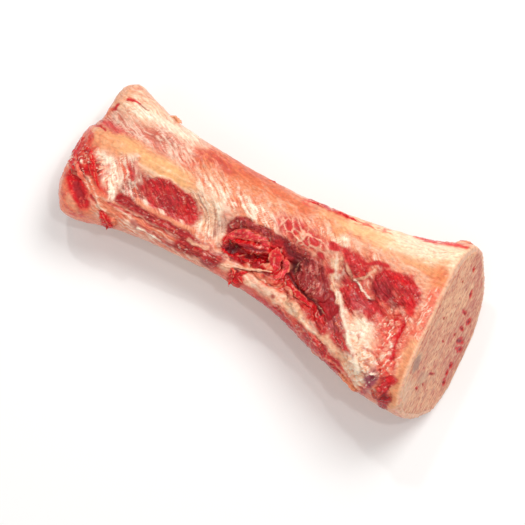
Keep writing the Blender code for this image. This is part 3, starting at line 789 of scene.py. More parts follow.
def paint_hollow(skin, tone):
    """The torn dark meat in the long hollow, partly painted shade, its bright roll with a painted highlight
    and shadow, sinew, and crevices painted near-black as shade.
    """
    net = skin.spot((16, 28), 20, 7.5, -8, 0.5)
    skin.lay(net * 0.9, tone.salmon * (1.05, 1.2, 1.15), 0, 0.75)
    skin.mottle(net, 7, tone.red * 1.1, 0.95, -0.45, -0.3, 121)
    skin.netting(net, 5.2, tone.cream * (1, 0.8, 0.8), 0.95, 0.45, 0.085, 123, -42)
    skin.lay(skin.spot((39, 31.5), 4.4, 2.0, -22, 0.4, 0.6), tone.red * 1.1, -0.1, 0.8)
    skin.lay(skin.spot((49, 28.5), 2.6, 4.0, 20, 0.4, 0.6), tone.red * 1.1, -0.1, 0.8)
    skin.lay(skin.spot((33, 21.5), 3.6, 2.2, -20, 0.4, 0.6), tone.red * 1.05, -0.1, 0.8)
    skin.lay(skin.spot((42, 14), 3.4, 5, 20, 0.4, 0.5) * 0.9, tone.red * 1.15, 0.1, 0.8)
    skin.lay(skin.spot((-20, -13), 6, 3.6, 20, 0.5), tone.cream * (0.98, 0.78, 0.75), 0.3, 0.75)
    skin.lay(skin.line([(-26, -18.5), (-10, -20.5), (4, -21)], 2.2, 0.6, 0.6) * 0.8, tone.coral, 0, 0.8)
    # Dark red over the long hollow and under the roll: dark muscle, partly painted shade of the recess
    for route, half_width in (
        ([(-23, 13), (0, 15), (20, 12), (34, 6), (46, -3), (53, -9)], 7.2),
        ([(-22, 1), (-12, -1), (4, -3), (20, -3)], 7),
    ):
        skin.lay(skin.line(route, half_width, 0.22), tone.dark_red * 1.1, -0.4, 0.85, 0.9)
    skin.lay(skin.spot((-8, 7), 20, 12, 0, 0.25), tone.dark_red * 1.1, 0, 0.85)
    back = skin.line([(-26, 14), (-10, 17), (10, 18), (24, 16)], 4.0, 0.5)
    muscle(skin, tone, back, tone.plum * (1.05, 0.9, 0.9), -56, 125, 0.75, 0.55)
    meat = skin.line([(-52, -13), (-40, -11.5), (-27, -12)], 5.2, 0.4)
    muscle(skin, tone, meat, tone.red * 0.85, -8, 129, 0.6, 0.6)
    skin.lay(
        skin.line([(-50, -8.5), (-36, -8)], 1.4, 0.6, 0.7) * 0.8,
        tone.cream * (1, 0.8, 0.75), 0.5, 0.9,
    )
    skin.lay(skin.line([(-52, -10.5), (-40, -10)], 1.0, 0.6, 0.7) * 0.7, tone.red, -0.2, 0.9)
    roll = skin.line([(-26, 4), (-20, 10), (-11, 12.5), (-1, 11)], 4.4, 0.25, 0.12)
    muscle(skin, tone, roll, tone.wet_red * 1.15, 66, 133, 0.3, 0.5)
    # Pale pink line along the top of the roll: painted highlight
    skin.lay(
        skin.line([(-25.5, 7), (-18, 13), (-9, 15.5), (0, 12.5)], 1.2, 0.8, 0.5) * 0.7,
        tone.coral * (1.15, 1.7, 1.6), 0.4, 1.0,
    )
    # Near-black hole beside the roll, with lumps whose creases are also painted shade: painted shade in the
    # hole
    skin.lay(skin.spot((-21.5, -1), 4.2, 3.6, -10, 0.5), tone.deep * 0.9, -0.7, 0.1)
    skin.lumps(skin.spot((-22, -2), 7, 6, -10, 0.4), 2.8, 2.2, tone.deep, 0.9, 157)
    skin.lay(skin.line([(-27, -3), (-22, -5), (-15, -5)], 1.2, 0.6, 0.6), tone.wet_red, 1.2, 1.0)
    # Near-black line under the roll's lower edge: painted shadow of the roll
    skin.lay(skin.line([(-20, 3), (-10, 5.5), (0, 8)], 1.2, 0.6, 0.5) * 0.9, tone.deep * 1.3, -0.6, 0.3)
    torn = skin.line([(-12, -2), (0, 0.5), (9, 0), (14, -4)], 6.0, 0.35, 0.4)
    skin.lay(torn, tone.wet_red * 0.95, 0.2, 1.0, 0.3)
    skin.mottle(torn, 5, tone.dark_red, 0.7, 0.0, -0.4, 136)
    flap = skin.line([(6, 12), (10, 5), (11, -4)], 6.0, 0.25, 0.35)
    skin.lay(flap, tone.wet_red * 1.15, 0.6, 1.0, 0.3)
    skin.lumps(np.maximum(torn, flap), 5.5, 1.4, tone.dark_red * 0.9, 0.6, 137)
    skin.strands(torn, 35, 2.6, 3, tone.coral * (1.1, 2.5, 2.4), 0.8, 0.35, 0.14, 139)
    skin.strands(flap, 75, 3.0, 3, tone.coral * 1.2, 0.7, 0.3, 0.2, 140)
    # White spot on the flap: painted glint
    skin.lay(skin.spot((8, 11.5), 1.6, 1.4, 40, 0.7, 0.5) * 0.9, tone.white, 0.5, 1.0)
    dark = skin.spot((33, 5), 14.5, 12.5, -28, 0.22)
    muscle(skin, tone, dark, tone.plum * (1.12, 1.0, 1.05), (12, -4), 141, 0.8, 0.5)
    skin.strands(dark, (12, -4), 1.7, 1.6, tone.mauve * (1.2, 1.3, 1.4), 0.7, 0.4, 0.22, 145)
    skin.lay(skin.line([(38, 14), (43, 6), (47, -3)], 1.4, 0.7, 0.4) * 0.8, tone.dark_red * 0.8, -0.5)
    # Near-black gap beside the flap and dark line above it: painted shade
    skin.lay(skin.spot((20.5, 6), 3.2, 5.2, 8, 0.5, 0.4), tone.deep * 0.8, -1.3, 0.2)
    skin.lay(
        skin.line([(10, 16), (15, 13), (22, 13), (27, 12)], 2.4, 0.6, 0.6) * 0.85,
        tone.deep * 1.3, -0.6, 0.3,
    )
    wet = skin.line([(21, -4), (34, -8.5), (48, -15)], 4.4, 0.5, 0.5)
    muscle(skin, tone, wet, tone.wet_red * 1.02, -30, 147, 0.45, 0.5)
    # Pale pink spot on the wet muscle: painted highlight
    skin.lay(skin.spot((27, -8), 3.6, 2.0, -30, 0.7, 0.6) * 0.85, tone.coral * (1.1, 3.6, 3.4), 0.6, 1.0)
    # Near-black crevice line: painted shade in the crevice
    skin.lay(
        skin.line([(19, 0), (28, -4.4), (36, -6.4), (51, -13.5)], 1.0, 0.6, 0.4),
        tone.deep * 0.8, -1.2, 0.2,
    )
    under = skin.line([(-6, -8.5), (4, -8.5), (18, -9)], 3.4, 0.5, 0.5)
    skin.lay(under, tone.coral * (1.1, 1.7, 1.6), 0.2, 1.0)
    skin.mottle(under, 4, tone.wet_red, 0.9, -0.1, 0, 151)
    skin.strands(under, 10, 1.8, 3, tone.white, 0.6, 0.3, 0.1, 153)
    skin.lay(skin.line([(-14, -10.8), (-2, -7.8), (8, -5)], 0.8, 0.6, 0.4) * 0.9, tone.dark_red, -0.8, 0.8)
    skin.lay(skin.spot((-11, -16), 5.5, 5.5, 20, 0.5, 0.5), tone.wet_red * 1.05, 0.2, 1.0)
    # Near-black hole by the tag: painted shade
    skin.lay(skin.spot((-12.5, -13), 2.8, 1.6, 30, 0.5), tone.deep, -0.8, 0.2)


def paint_low_edge(skin, tone):
    """Cream strip along the low edge, with ragged red meat below it and the torn wedge above."""
    edge = skin.line([(26, -29), (60, -38), (94, -47)], 7.5, 0.35)
    muscle(skin, tone, edge, tone.red * 1.2, -18, 161, 0.55, 0.55)
    skin.netting(edge, 9.0, tone.pink * 1.1, 0.6, 0.3, 0.05, 165, -20)
    skin.lay(skin.line([(0, -22), (20, -26.5), (36, -31)], 2.6, 0.5, 0.7), tone.red * 1.1, 0.1, 0.85)
    strip = skin.line([(-4, -14.5), (20, -15), (40, -20), (60, -26.5), (78, -33), (93, -43)], 3.5, 0.45)
    skin.lay(strip, tone.cream * (0.98, 0.86, 0.8), 0.6, 0.65)
    skin.mottle(strip, 8, tone.orange, 0.4, 0.05, 0, 167)
    skin.mottle(strip, 5, tone.white * 1.04, 0.5, 0.1, 0.15, 169)
    skin.strands(strip, -20, 2.0, 4, tone.salmon, 0.5, -0.2, 0.28, 171)
    skin.lay(skin.spot((7, -15.5), 6, 3, -5, 0.7) * 0.5, tone.grey * 1.25, 0.1, 0.8)
    skin.lay(skin.spot((16.5, -17.5), 1.4, 1.2, 0, 0.6), tone.brown, -0.4)
    wedge = skin.line([(42, -14.5), (50, -17), (56, -20)], 4.8, 0.4, 0.4)
    muscle(skin, tone, wedge, tone.red * 1.1, -40, 173, 0.7, 0.4)
    purple = skin.line([(57, -9), (63, -15), (69, -20)], 6.0, 0.4, 0.4)
    muscle(skin, tone, purple, tone.plum * (1.35, 2.3, 2.4), -42, 177, 0.5, 0.8)
    red = skin.line([(68, -23), (76, -25)], 4.4, 0.45, 0.4)
    muscle(skin, tone, red, tone.red * (1.15, 1.6, 1.6), -30, 179, 0.4, 0.6)
    skin.lay(skin.line([(56, -40.5), (63, -42)], 1.6, 0.5, 0.5), tone.orange, 0.5)
    skin.lay(skin.line([(82, -44.5), (94, -48.5)], 2.6, 0.5, 0.5), tone.coral * (1.15, 2.3, 1.9), 0.5, 0.8)


def paint_sawn_end(skin, tone):
    """Pale ridge, fascia and red muscle patches of the wide end."""
    ridge = skin.line([(50, 49), (75, 52), (100, 56), (119, 59)], 9.0, 0.6, 0.2)
    skin.lay(ridge, tone.pale, 0.2, 0.4)
    # Whitened top of the pale ridge: its pale colour with a painted highlight where the light falls
    skin.lay(skin.spot((96, 57), 26, 9, 10, 0.8) * 0.8, tone.white * (1.03, 1.0, 0.98))
    skin.lay(skin.spot((54, 46.5), 15, 6, 6, 0.7) * 0.75, tone.tan * 1.16)
    skin.strands(ridge, 10, 2.2, 7, tone.tan, 0.4, -0.1, 0.3, 181)
    skin.strands(ridge, 14, 3.4, 5, tone.coral * (1.15, 3, 2.6), 0.3, -0.1, 0.2, 182)
    skin.strands(skin.spot((104, 54), 16, 12, 10), 24, 2.0, 4, tone.orange, 0.45, -0.12, 0.26, 183)
    skin.lay(
        skin.line([(36, 41), (60, 41), (90, 43), (106, 45)], 3.0, 0.9) * 0.85,
        tone.tan * (1.0, 0.85, 0.8), 0, 0.5,
    )
    skin.lay(
        skin.line([(42, 37), (70, 38), (100, 36.5), (112, 30)], 3.2, 0.9) * 0.85,
        tone.cream * (0.98, 0.72, 0.62), 0.1, 0.6,
    )
    skin.strands(
        skin.line([(42, 37), (70, 38), (100, 36)], 3.4, 0.9),
        -6, 2.0, 6, tone.white, 0.5, 0.1, 0.3, 184,
    )
    corner = skin.spot((112, 43), 6, 11, 12, 0.6)
    skin.lay(corner, tone.orange * (1.02, 1.0, 0.9), 0, 0.6)
    skin.strands(corner, 62, 1.8, 3, tone.salmon, 0.5, -0.2, 0.3, 185)
    skin.lay(
        skin.line([(83, 60.5), (100, 64.5), (119, 69)], 1.6, 0.5, 0.9) * skin.shown,
        tone.wet_red * (1.25, 4, 2), 0.4, 0.9,
    )
    skin.strands(
        skin.line([(46, 52.5), (56, 53), (68, 55)], 2.0, 0.6) * skin.shown,
        4, 2.0, 3, tone.coral, 0.9, 0.3, 0.34, 180,
    )
    skin.lay(skin.line([(111, 70.5), (128, 72)], 2.2, 0.5, 0.5), tone.cream * (1, 0.75, 0.7), 0.3, 0.6)
    skin.strands(
        skin.line([(111, 70.5), (128, 72)], 2.4, 0.5) * skin.shown,
        8, 2.0, 3, tone.red, 0.7, 0, 0.2, 186,
    )

    whole = skin.spot((76, 10), 42, 28, -14, 0.4)
    skin.lay(whole * 0.9, tone.coral * (1.05, 1.9, 1.7), 0, 0.75)
    skin.mottle(whole, 7, tone.cream * (1, 0.75, 0.7), 0.6, 0.05, 0.1, 187)
    skin.mottle(whole, 6, tone.red * 1.15, 0.55, 0.2, -0.1, 188)
    sinew(skin, tone, whole, -34, 189, 0.6, 0.4, 2.0)
    coral = skin.line([(113, 30), (112.5, 8), (111, -6)], 4.6, 0.6, 0.3)
    skin.lay(coral * 0.9, tone.coral * (1.06, 1.25, 1.2), 0, 0.95)
    skin.mottle(coral, 5, tone.coral, 0.6, 0.0, 0.1, 215)
    skin.mottle(coral, 4, tone.cream * (1, 0.75, 0.7), 0.5, 0.2, 0.1, 217)
    # Thin white strands on the wet coral band: painted glints
    skin.strands(coral, 80, 2.2, 2.4, tone.white * 1.1, 0.7, 0.3, 0.14, 216)
    fascia = skin.line([(42, 36), (46, 24), (50, 10), (55, -2), (64, -12)], 4.4, 0.5, 0.4)
    skin.lay(fascia, tone.cream * (1.05, 1.0, 0.92), 0.5, 0.7)
    skin.mottle(fascia, 5, tone.red * 1.1, 0.6, 0.2, 0, 190)
    sinew(skin, tone, fascia, -62, 191, 0.85, 0.5, 2.0)
    skin.lay(skin.spot((45, 14.5), 2.6, 2.2, 0, 0.5, 0.5), tone.red * 1.15, -0.1, 0.8)
    muscle(skin, tone, skin.spot((58, 26), 11.5, 7, -22, 0.22, 0.4), tone.red * 1.16, -40, 193, 0.5, 0.4)
    skin.lay(skin.line([(56, 31), (64, 29), (70, 33), (76, 35)], 1.6, 0.5, 0.5), tone.red * 1.1, 0, 0.9)
    oval = skin.spot((89, 23), 18.5, 11.5, -12, 0.14, 0.2)
    muscle(skin, tone, oval, tone.red * 1.12, -30, 197, 0.6, 0.45)
    skin.lay(skin.spot((81, 19.5), 9, 5.5, -15, 0.5, 0.4) * 0.75, tone.dark_red * (1.1, 1.6, 1.8), -0.3)
    skin.lay(skin.spot((84, 31), 11, 3.0, -4, 0.5, 0.4) * 0.7, tone.wet_red * 1.1, 0.1)
    skin.lay(skin.spot((103, 15.5), 3.6, 6.4, 20, 0.5) * 0.9, tone.wet_red * 1.2, 0.3)
    skin.lay(
        skin.line([(47, 28), (54, 21), (60, 17.6), (66, 20), (70, 27)], 0.9, 0.7, 0.6) * 0.8,
        tone.cream * (1.02, 0.95, 0.9), 0.4, 0.7,
    )
    muscle(skin, tone, skin.spot((69, 5), 19.5, 9.2, -26, 0.22, 0.3), tone.red * 1.12, -36, 201, 0.5, 0.5)
    # Light purple patch on the lower oval: painted sheen of light on the wet muscle
    skin.lay(skin.spot((72, 3), 9, 4.2, -24, 0.7) * 0.55, tone.plum * (1.45, 2.4, 2.6), 0, 1.0)
    skin.lay(
        skin.line([(60, 17.6), (68, 14), (77, 10.6), (84, 6)], 0.6, 0.6, 0.5),
        tone.white * 1.05, 0.6, 0.8,
    )
    skin.lay(skin.line([(77, 9.6), (84, 6), (91, -1)], 1.7, 0.5, 0.4), tone.dark_red * 0.9, -1.0, 0.9)
    skin.lay(skin.line([(85, 7), (91, 1), (97, -6)], 4.6, 0.5, 0.7) * 0.85, tone.red * 1.2, 0.0, 0.95)
    skin.lay(skin.spot((91, 12.5), 3.6, 1.8, -20, 0.6) * 0.6, tone.grey * 1.2, 0.5, 1.0)
    skin.lay(skin.spot((95, 5), 5.0, 3.0, -30, 0.6, 0.4) * 0.7, tone.coral * (1.1, 2.2, 1.9), 0.4, 1.0)
    skin.strands(skin.spot((95, 5), 6.0, 4.0, -30), -40, 2.2, 2, tone.white * 1.1, 0.8, 0.4, 0.18, 203)


def paint_fat_end(skin, tone):
    """White wrinkled fat of the wide end, wet pink fibres beside it and the lump of dark muscle."""
    pink = skin.line([(97, 0), (101, -9), (102, -19), (106, -27)], 8.6, 0.55, 0.5)
    skin.lay(pink, tone.coral * (1.05, 1.2, 1.2), 0, 1.0, 0.3)
    skin.lumps(pink, 3.2, 0.9, tone.red * 1.1, 0.8, 205)
    skin.mottle(pink, 4, tone.cream * (1, 0.8, 0.8), 0.7, 0.05, 0.2, 207)
    # Thin white strands on the wet pink fibres: painted glints
    skin.strands(pink, 70, 2.2, 2.2, tone.white * 1.1, 0.95, 0.4, 0.2, 209)
    skin.strands(pink, 20, 3.0, 2.2, tone.wet_red, 0.8, -0.3, 0.16, 210)
    fat = skin.line([(75, -10), (81, -15), (87, -25), (93, -38)], 7.4, 0.4, 0.5)
    skin.lay(fat, tone.fat * (1.06, 1.02, 0.98), 0.2, 0.75, 0.2)
    skin.wrinkles(fat, 2.8, 0.8, tone.orange * (1.05, 1.0, 1.0), 0.7, 211)
    # Brightest white patch of the fat: painted highlight
    skin.lay(skin.spot((80, -11), 8, 6, -25, 0.7, 0.4) * 0.8, tone.white * (1.06, 1.1, 1.12), 0.2, 0.9)
    skin.strands(fat, -50, 3.0, 3, tone.coral * (1.1, 2.4, 2.0), 0.6, -0.3, 0.14, 213)
    # Thin bluish-white strands on the fat: painted glints
    skin.strands(fat, 30, 3.0, 2, tone.white * (1.1, 1.25, 1.35), 0.8, 0.35, 0.12, 214)
    skin.lay(
        skin.line([(54, 3), (60, -4), (66, -10), (73, -17), (80, -26), (90, -37)], 1.3, 0.6, 0.5) * 0.8,
        tone.white * 1.05, 0.6, 0.9,
    )
    skin.lay(skin.line([(103, 3), (104, -8), (106, -18)], 1.7, 0.6, 0.5), tone.wet_red, -0.6, 0.95)
    skin.lay(skin.line([(117, 24), (117.5, 8)], 0.9, 0.6, 0.7) * 0.8, tone.red * 1.15, -0.2, 0.9)
    skin.lay(
        skin.line([(115, -6), (117, -26), (119, -50)], 4.6, 0.6, 0.2),
        tone.knob * (1.0, 0.9, 0.8), 0.1, 0.6,
    )
    skin.lay(
        skin.line([(115, -10), (116, -26), (119, -44)], 1.8, 0.9, 0.3) * 0.7,
        tone.orange * 0.85, -0.3, 0.6,
    )
    end = skin.line([(110, -34), (110, -40), (113.5, -47)], 5.0, 0.3, 0.4)
    muscle(skin, tone, end, tone.red * 1.15, 60, 219, 0.55, 0.4)
    skin.lumps(end, 6, 1.0, tone.dark_red * 0.7, 0.6, 221)
    skin.lay(skin.spot((110, -33), 2.8, 3.2, 20, 0.5) * 0.8, tone.wet_red * 1.1, 0.3, 1.0)
    film = skin.spot((99.5, -39), 3.4, 8.5, 14, 0.5, 0.4)
    skin.lay(film, tone.plum * (1.2, 2.2, 3.0), 0.4, 1.0)
    skin.mottle(film, 4, tone.deep * 1.3, 0.8, 0.0, -0.4, 223)
    skin.strands(film, 74, 2.4, 3, tone.white * 1.15, 0.95, 0.6, 0.24, 225)


def paint_all(skin, tone):
    """Everything that lies on the bone, in the order in which it overlaps."""
    paint_everywhere(skin, tone)
    paint_knob(skin, tone)
    paint_waist(skin, tone)
    paint_joint_flesh(skin, tone)
    paint_oval_side(skin, tone)
    paint_sawn_end(skin, tone)
    paint_low_edge(skin, tone)
    paint_fat_end(skin, tone)
    paint_hollow(skin, tone)


# Materials


def fill_in(node, values):
    """Sets a node's inputs to fixed values, by name."""
    for name, value in values.items():
        node.inputs[name].default_value = value


class Nodes:
    """A material's node tree, with short ways to add and join nodes."""

    def __init__(self, name):
        self.material = bpy.data.materials.new(name)
        self.material.use_nodes = True
        self.tree = self.material.node_tree
        self.shader = self.tree.nodes["Principled BSDF"]

    def add(self, kind, **settings):
        """A new node of that kind, with those settings."""
        node = self.tree.nodes.new("ShaderNode" + kind)
        for name, value in settings.items():
            setattr(node, name, value)
        return node

    def join(self, source, target):
        """Leads an output to an input."""
        self.tree.links.new(source, target)

    def noise(self, place, scale, detail):
        """Noise of that many cells to each unit of a place's coordinates."""
        node = self.add("TexNoise")
        fill_in(node, {"Scale": scale, "Detail": detail})
        self.join(place, node.inputs["Vector"])
        return node.outputs["Fac"]

    def ramp(self, value, low, high, start=0.0, end=1.0):
        """A value that goes from low to high while the given one goes from start to end."""
        node = self.add("MapRange")
        fill_in(node, {"From Min": start, "From Max": end, "To Min": low, "To Max": high})
        self.join(value, node.inputs["Value"])
        return node.outputs["Result"]

    def maths(self, operation, first, second):
        """Two values or numbers, worked into one."""
        node = self.add("Math", operation=operation)
        for slot, value in enumerate((first, second)):
            if isinstance(value, (int, float)):
                node.inputs[slot].default_value = value
            else:
                self.join(value, node.inputs[slot])
        return node.outputs["Value"]

    def mixed(self, way, share, first, second):
        """A colour blended with one that is fixed, by a value."""
        node = self.add("Mix", data_type="RGBA", blend_type=way)
        self.join(share, node.inputs[MIX_SHARE])
        self.join(first, node.inputs[MIX_FIRST])
        node.inputs[MIX_SECOND].default_value = (*second, 1.0)
        return node.outputs[MIX_RESULT]

    def scaled(self, colour, strength):
        """A colour made lighter or darker by a value."""
        node = self.add("VectorMath", operation="SCALE")
        self.join(colour, node.inputs["Vector"])
        self.join(strength, node.inputs["Scale"])
        return node.outputs["Vector"]


def flesh(name, look, dry=0.55, soaked=0.15, speckle=0.16):
    """Raw flesh, fat or bone skin, coloured by the tones painted on the piece."""
    made = Nodes(name)
    tone = made.add("Attribute", attribute_name="tone")
    fibre = made.add("Attribute", attribute_name="fibre")
    grain = made.add("Attribute", attribute_name="grain")
    place = made.add("TexCoord").outputs["Object"]
    mottling = made.noise(place, 420.0, 4.0)
    grit = made.noise(place, 1900.0, 2.0)
    streak = made.noise(grain.outputs["Vector"], 1.1, 3.0)
    shade = made.ramp(mottling, 1 - speckle, 1 + speckle, 0.3, 0.7)
    colour = made.scaled(tone.outputs["Color"], shade)
    furrow = made.maths("MULTIPLY", made.ramp(streak, 0.6, 0.0, 0.36, 0.48), fibre.outputs["Fac"])
    colour = made.mixed("MULTIPLY", furrow, colour, (0.78, 0.42, 0.36))
    thread = made.maths("MULTIPLY", made.ramp(streak, 0.0, 0.75, 0.54, 0.66), fibre.outputs["Fac"])
    colour = made.mixed("SOFT_LIGHT", thread, colour, (1.0, 0.96, 0.92))
    made.join(colour, made.shader.inputs["Base Color"])
    wet = made.ramp(tone.outputs["Alpha"], dry, soaked)
    rough = made.maths("ADD", wet, made.ramp(grit, -0.06, 0.06, 0.3, 0.7))
    made.join(rough, made.shader.inputs["Roughness"])
    height = made.maths("MULTIPLY", streak, made.ramp(fibre.outputs["Fac"], 0.1, 0.6))
    height = made.maths("ADD", height, made.maths("MULTIPLY", grit, 0.25))
    height = made.maths("ADD", height, made.maths("MULTIPLY", mottling, 0.5))
    film = made.noise(place, 620.0, 1.0)
    film = made.maths("MULTIPLY", film, made.ramp(tone.outputs["Alpha"], 0.0, 1.6, 0.5, 1.0))
    height = made.maths("ADD", height, film)
    bump = made.add("Bump")
    fill_in(bump, {"Strength": 0.6, "Distance": 0.0006})
    made.join(height, bump.inputs["Height"])
    made.join(bump.outputs["Normal"], made.shader.inputs["Normal"])
    fill_in(made.shader, {
        "Specular IOR Level": 0.15,
        "Coat Weight": look.shine,
        "Coat Roughness": 0.06,
        "Subsurface Weight": look.softness,
        "Subsurface Radius": (1.0, 0.35, 0.2),
        "Subsurface Scale": 0.002,
    })
    return made.material


# Pieces


def tones(look):
    """The colours of the panel as arrays, by name."""
    return SimpleNamespace(**{name: np.array(getattr(look, name)) for name in TONES})


def saw_stripes(points):
    """Fine waves across the saw's plane, along its long direction."""
    down = points[:, 2] * 1.05
    return value_noise(np.stack([down * 1.4, points[:, 1] * 0.03, points[:, 0] * 0.0], axis=1), 301)


def bone_skin(look):
    """The bone's whole skin, with the rim that shows at the saw cut."""
    made = smooth_bone("bone_skin", look.skin_face, rounds=14)
    mesh = made.data
    split_upper(mesh)
    relax(mesh, 3, flat=cut_points(mesh, CUT_DEPTH * look.skin_face))

    tone = tones(look)
    skin = Surface(mesh, tone.pink * 1.1, -0.3)
    face = smooth(-2.2, -1.2, above_saw(skin.points)) * smooth(0.45, 0.75, skin.out @ SAW_WAY)
    paint_all(skin, tone)
    skin.rise *= look.relief
    skin.rise += 0.35 * clouds(skin.points, 6.0, 3, 311)
    skin.rise *= 1 - face
    skin.lay(face, tone.cream * (0.95, 0.82, 0.8), 0, 0.4, 0.1)
    skin.mottle(face, 3, tone.salmon, 0.4, 0.1, 0, 313)
    edge = smooth(-2.4, -0.6, above_saw(skin.points)) * (1 - face) * skin.upper
    skin.lay(edge * 0.8, tone.cream * (1.08, 1.0, 0.95), 0, 0.4)

    inside = BVHTree.FromBMesh(merged_copy("spongy_bone"))
    deep = np.zeros(skin.count)
    for index in np.flatnonzero(face > 0.3):
        below = Vector(skin.points[index]) * MM - SAW_OUT * 6 * MM
        place, normal, _, far = inside.find_nearest(below)
        if (below - place).dot(normal) < 0:
            deep[index] = min(far / MM, 3.0)
    skin.points -= smooth(0.8, 2.0, deep)[:, None] * SKIN_SETBACK * SAW_WAY
    skin.finish()
    made.data.materials.append(flesh("bone_skin_flesh", look))
    return made


def spongy_plug(look):
    """The spongy bone that fills the saw cut, with its holes and specks."""
    mesh = merged_copy("spongy_bone")
    everything = mesh.verts[:] + mesh.edges[:] + mesh.faces[:]
    back = (SAW_TOP - SAW_OUT * SPONGY_DEPTH) * MM
    bmesh.ops.bisect_plane(mesh, geom=everything, plane_co=back, plane_no=SAW_OUT, clear_inner=True)
    bmesh.ops.holes_fill(mesh, edges=mesh.edges, sides=0)
    bmesh.ops.recalc_face_normals(mesh, faces=mesh.faces)
    made = even_faces(mesh, "spongy_face", look.cut_face)
    relax(made.data, 3, flat=cut_points(made.data, look.cut_face))
    tone = tones(look)
    skin = Surface(made.data, tone.spongy)
    front = smooth(-1.4, -0.4, above_saw(skin.points)) * smooth(0.3, 0.8, skin.out @ SAW_WAY)
    skin.upper = front
    skin.fibre[:] = 0.15
    skin.mottle(front, 16, tone.knob * (1.08, 1.25, 1.2), 0.6, -0.1, 0, 321)
    skin.mottle(front, 7, tone.mauve, 0.45, 0.1, 0, 323)
    skin.lay(skin.spot((127, 25), 7, 32, 0, 0.7) * 0.4, tone.knob * (1.1, 1.3, 1.25))
    skin.lay(
        skin.line([(131, 68), (137, 50), (142, 30), (146, 0), (145, -20)], 3.2, 0.7) * 0.55,
        tone.mauve * (1, 0.9, 0.9),
    )
    skin.lay(front * smooth(0.1, 0.6, saw_stripes(skin.points)) * 0.25, tone.pale)
    skin.lay(front * smooth(-0.1, -0.6, saw_stripes(skin.points)) * 0.3, tone.salmon, -0.08)
    speck = value_noise(skin.points * np.array((1.25, 0.5, 1.25)), 325)
    skin.lay(front * smooth(0.3, 0.5, speck) * 0.7, tone.red * (1, 2.6, 2.0), -0.25, 0.6)
    skin.lay(front * smooth(-0.35, -0.7, speck) * 0.4, tone.pale, 0.1)
    for (along, across), size in HOLES:
        skin.lay(
            skin.spot((along, across), size * 0.85, size * 1.35, 8, 0.3, 0.45),
            tone.wet_red * 1.15, -0.6, 0.8,
        )
        # A darker core to one side of each hole: painted shade inside it
        skin.lay(
            skin.spot((along + 0.4, across - 0.4), size * 0.4, size * 0.6) * 0.9,
            tone.dark_red * 0.8, -0.5,
        )
    skin.lay(skin.spot((122.5, -15), 2.4, 6, 0, 0.4) * 0.75, tone.grey * 0.75)
    skin.lay(skin.spot((131, -22), 3, 5, 0, 0.5) * 0.4, tone.grey * 0.9)
    skin.lay(skin.spot((122, -38), 5, 12, 10, 0.5) * 0.7, tone.cream)
    skin.rise += 0.25 * front
    skin.finish()
    made.data.materials.append(flesh("spongy_bone_cut", look, 0.6, 0.35, 0.12))
    return made


def settle(mesh, ground, share):
    """Presses a scrap down to a share of its height and sinks its rim into the skin."""
    points = read(mesh.vertices, "co")
    for index, point in enumerate(points):
        place, normal, _, _ = ground.find_nearest(Vector(point))
        height = (Vector(point) - place).dot(normal)
        lower = SCRAP_SINK * MM + (1 - share) * max(height, 0.0)
        points[index] = point - np.array(normal) * lower
    write(mesh.vertices, "co", points)
    mesh.update()


def pad(look, name, ground):
    """A scrap's own form in fine even faces, painted and torn as what lies there."""
    share, tears, tear_size = FORMS[name]
    made = even_faces(merged_copy(name), name + "_piece", look.muscle_face)
    relax(made.data, 4)
    settle(made.data, ground, share)
    tone = tones(look)
    skin = Surface(made.data, tone.fat if name == "wrinkled_fat" else tone.red * 0.8, -0.5)
    paint_all(skin, tone)
    skin.rise *= look.relief
    folds = 1 - 2 * np.abs(clouds(skin.points, tear_size, 3, 331))
    skin.rise += tears * (folds - 0.2)
    # The tone is darkened, towards red, in the bottoms of the tear folds: painted shade in the creases
    skin.tone *= 1 - np.outer(np.clip(tears, 0, 1) * smooth(0.2, -0.6, folds), (0.35, 0.7, 0.7))
    skin.finish()
    return made


def reach(along, across, grounds, step=0.7, middle=10.0):
    """How far the nearest piece is where a place shows, or in steps from it to the bone's middle line."""
    for number in range(20):
        eye, direction = seen_ray(along, across - math.copysign(step * number, across - middle))
        hits = [ground.ray_cast(eye, direction)[3] for ground in grounds]
        hits = [far for far in hits if far is not None]
        if hits:
            return min(hits)
    raise RuntimeError(f"Nothing lies near {along}, {across}")


def route_points(route, grounds):
    """Places of a route as points in millimetres, laid on the pieces below and lifted off them."""
    found = []
    for along, across, lift in route:
        eye, direction = seen_ray(along, across)
        shown = eye + direction * (reach(along, across, grounds) - lift * MM)
        found.append(np.array(shown) / MM)
    return np.array(found)


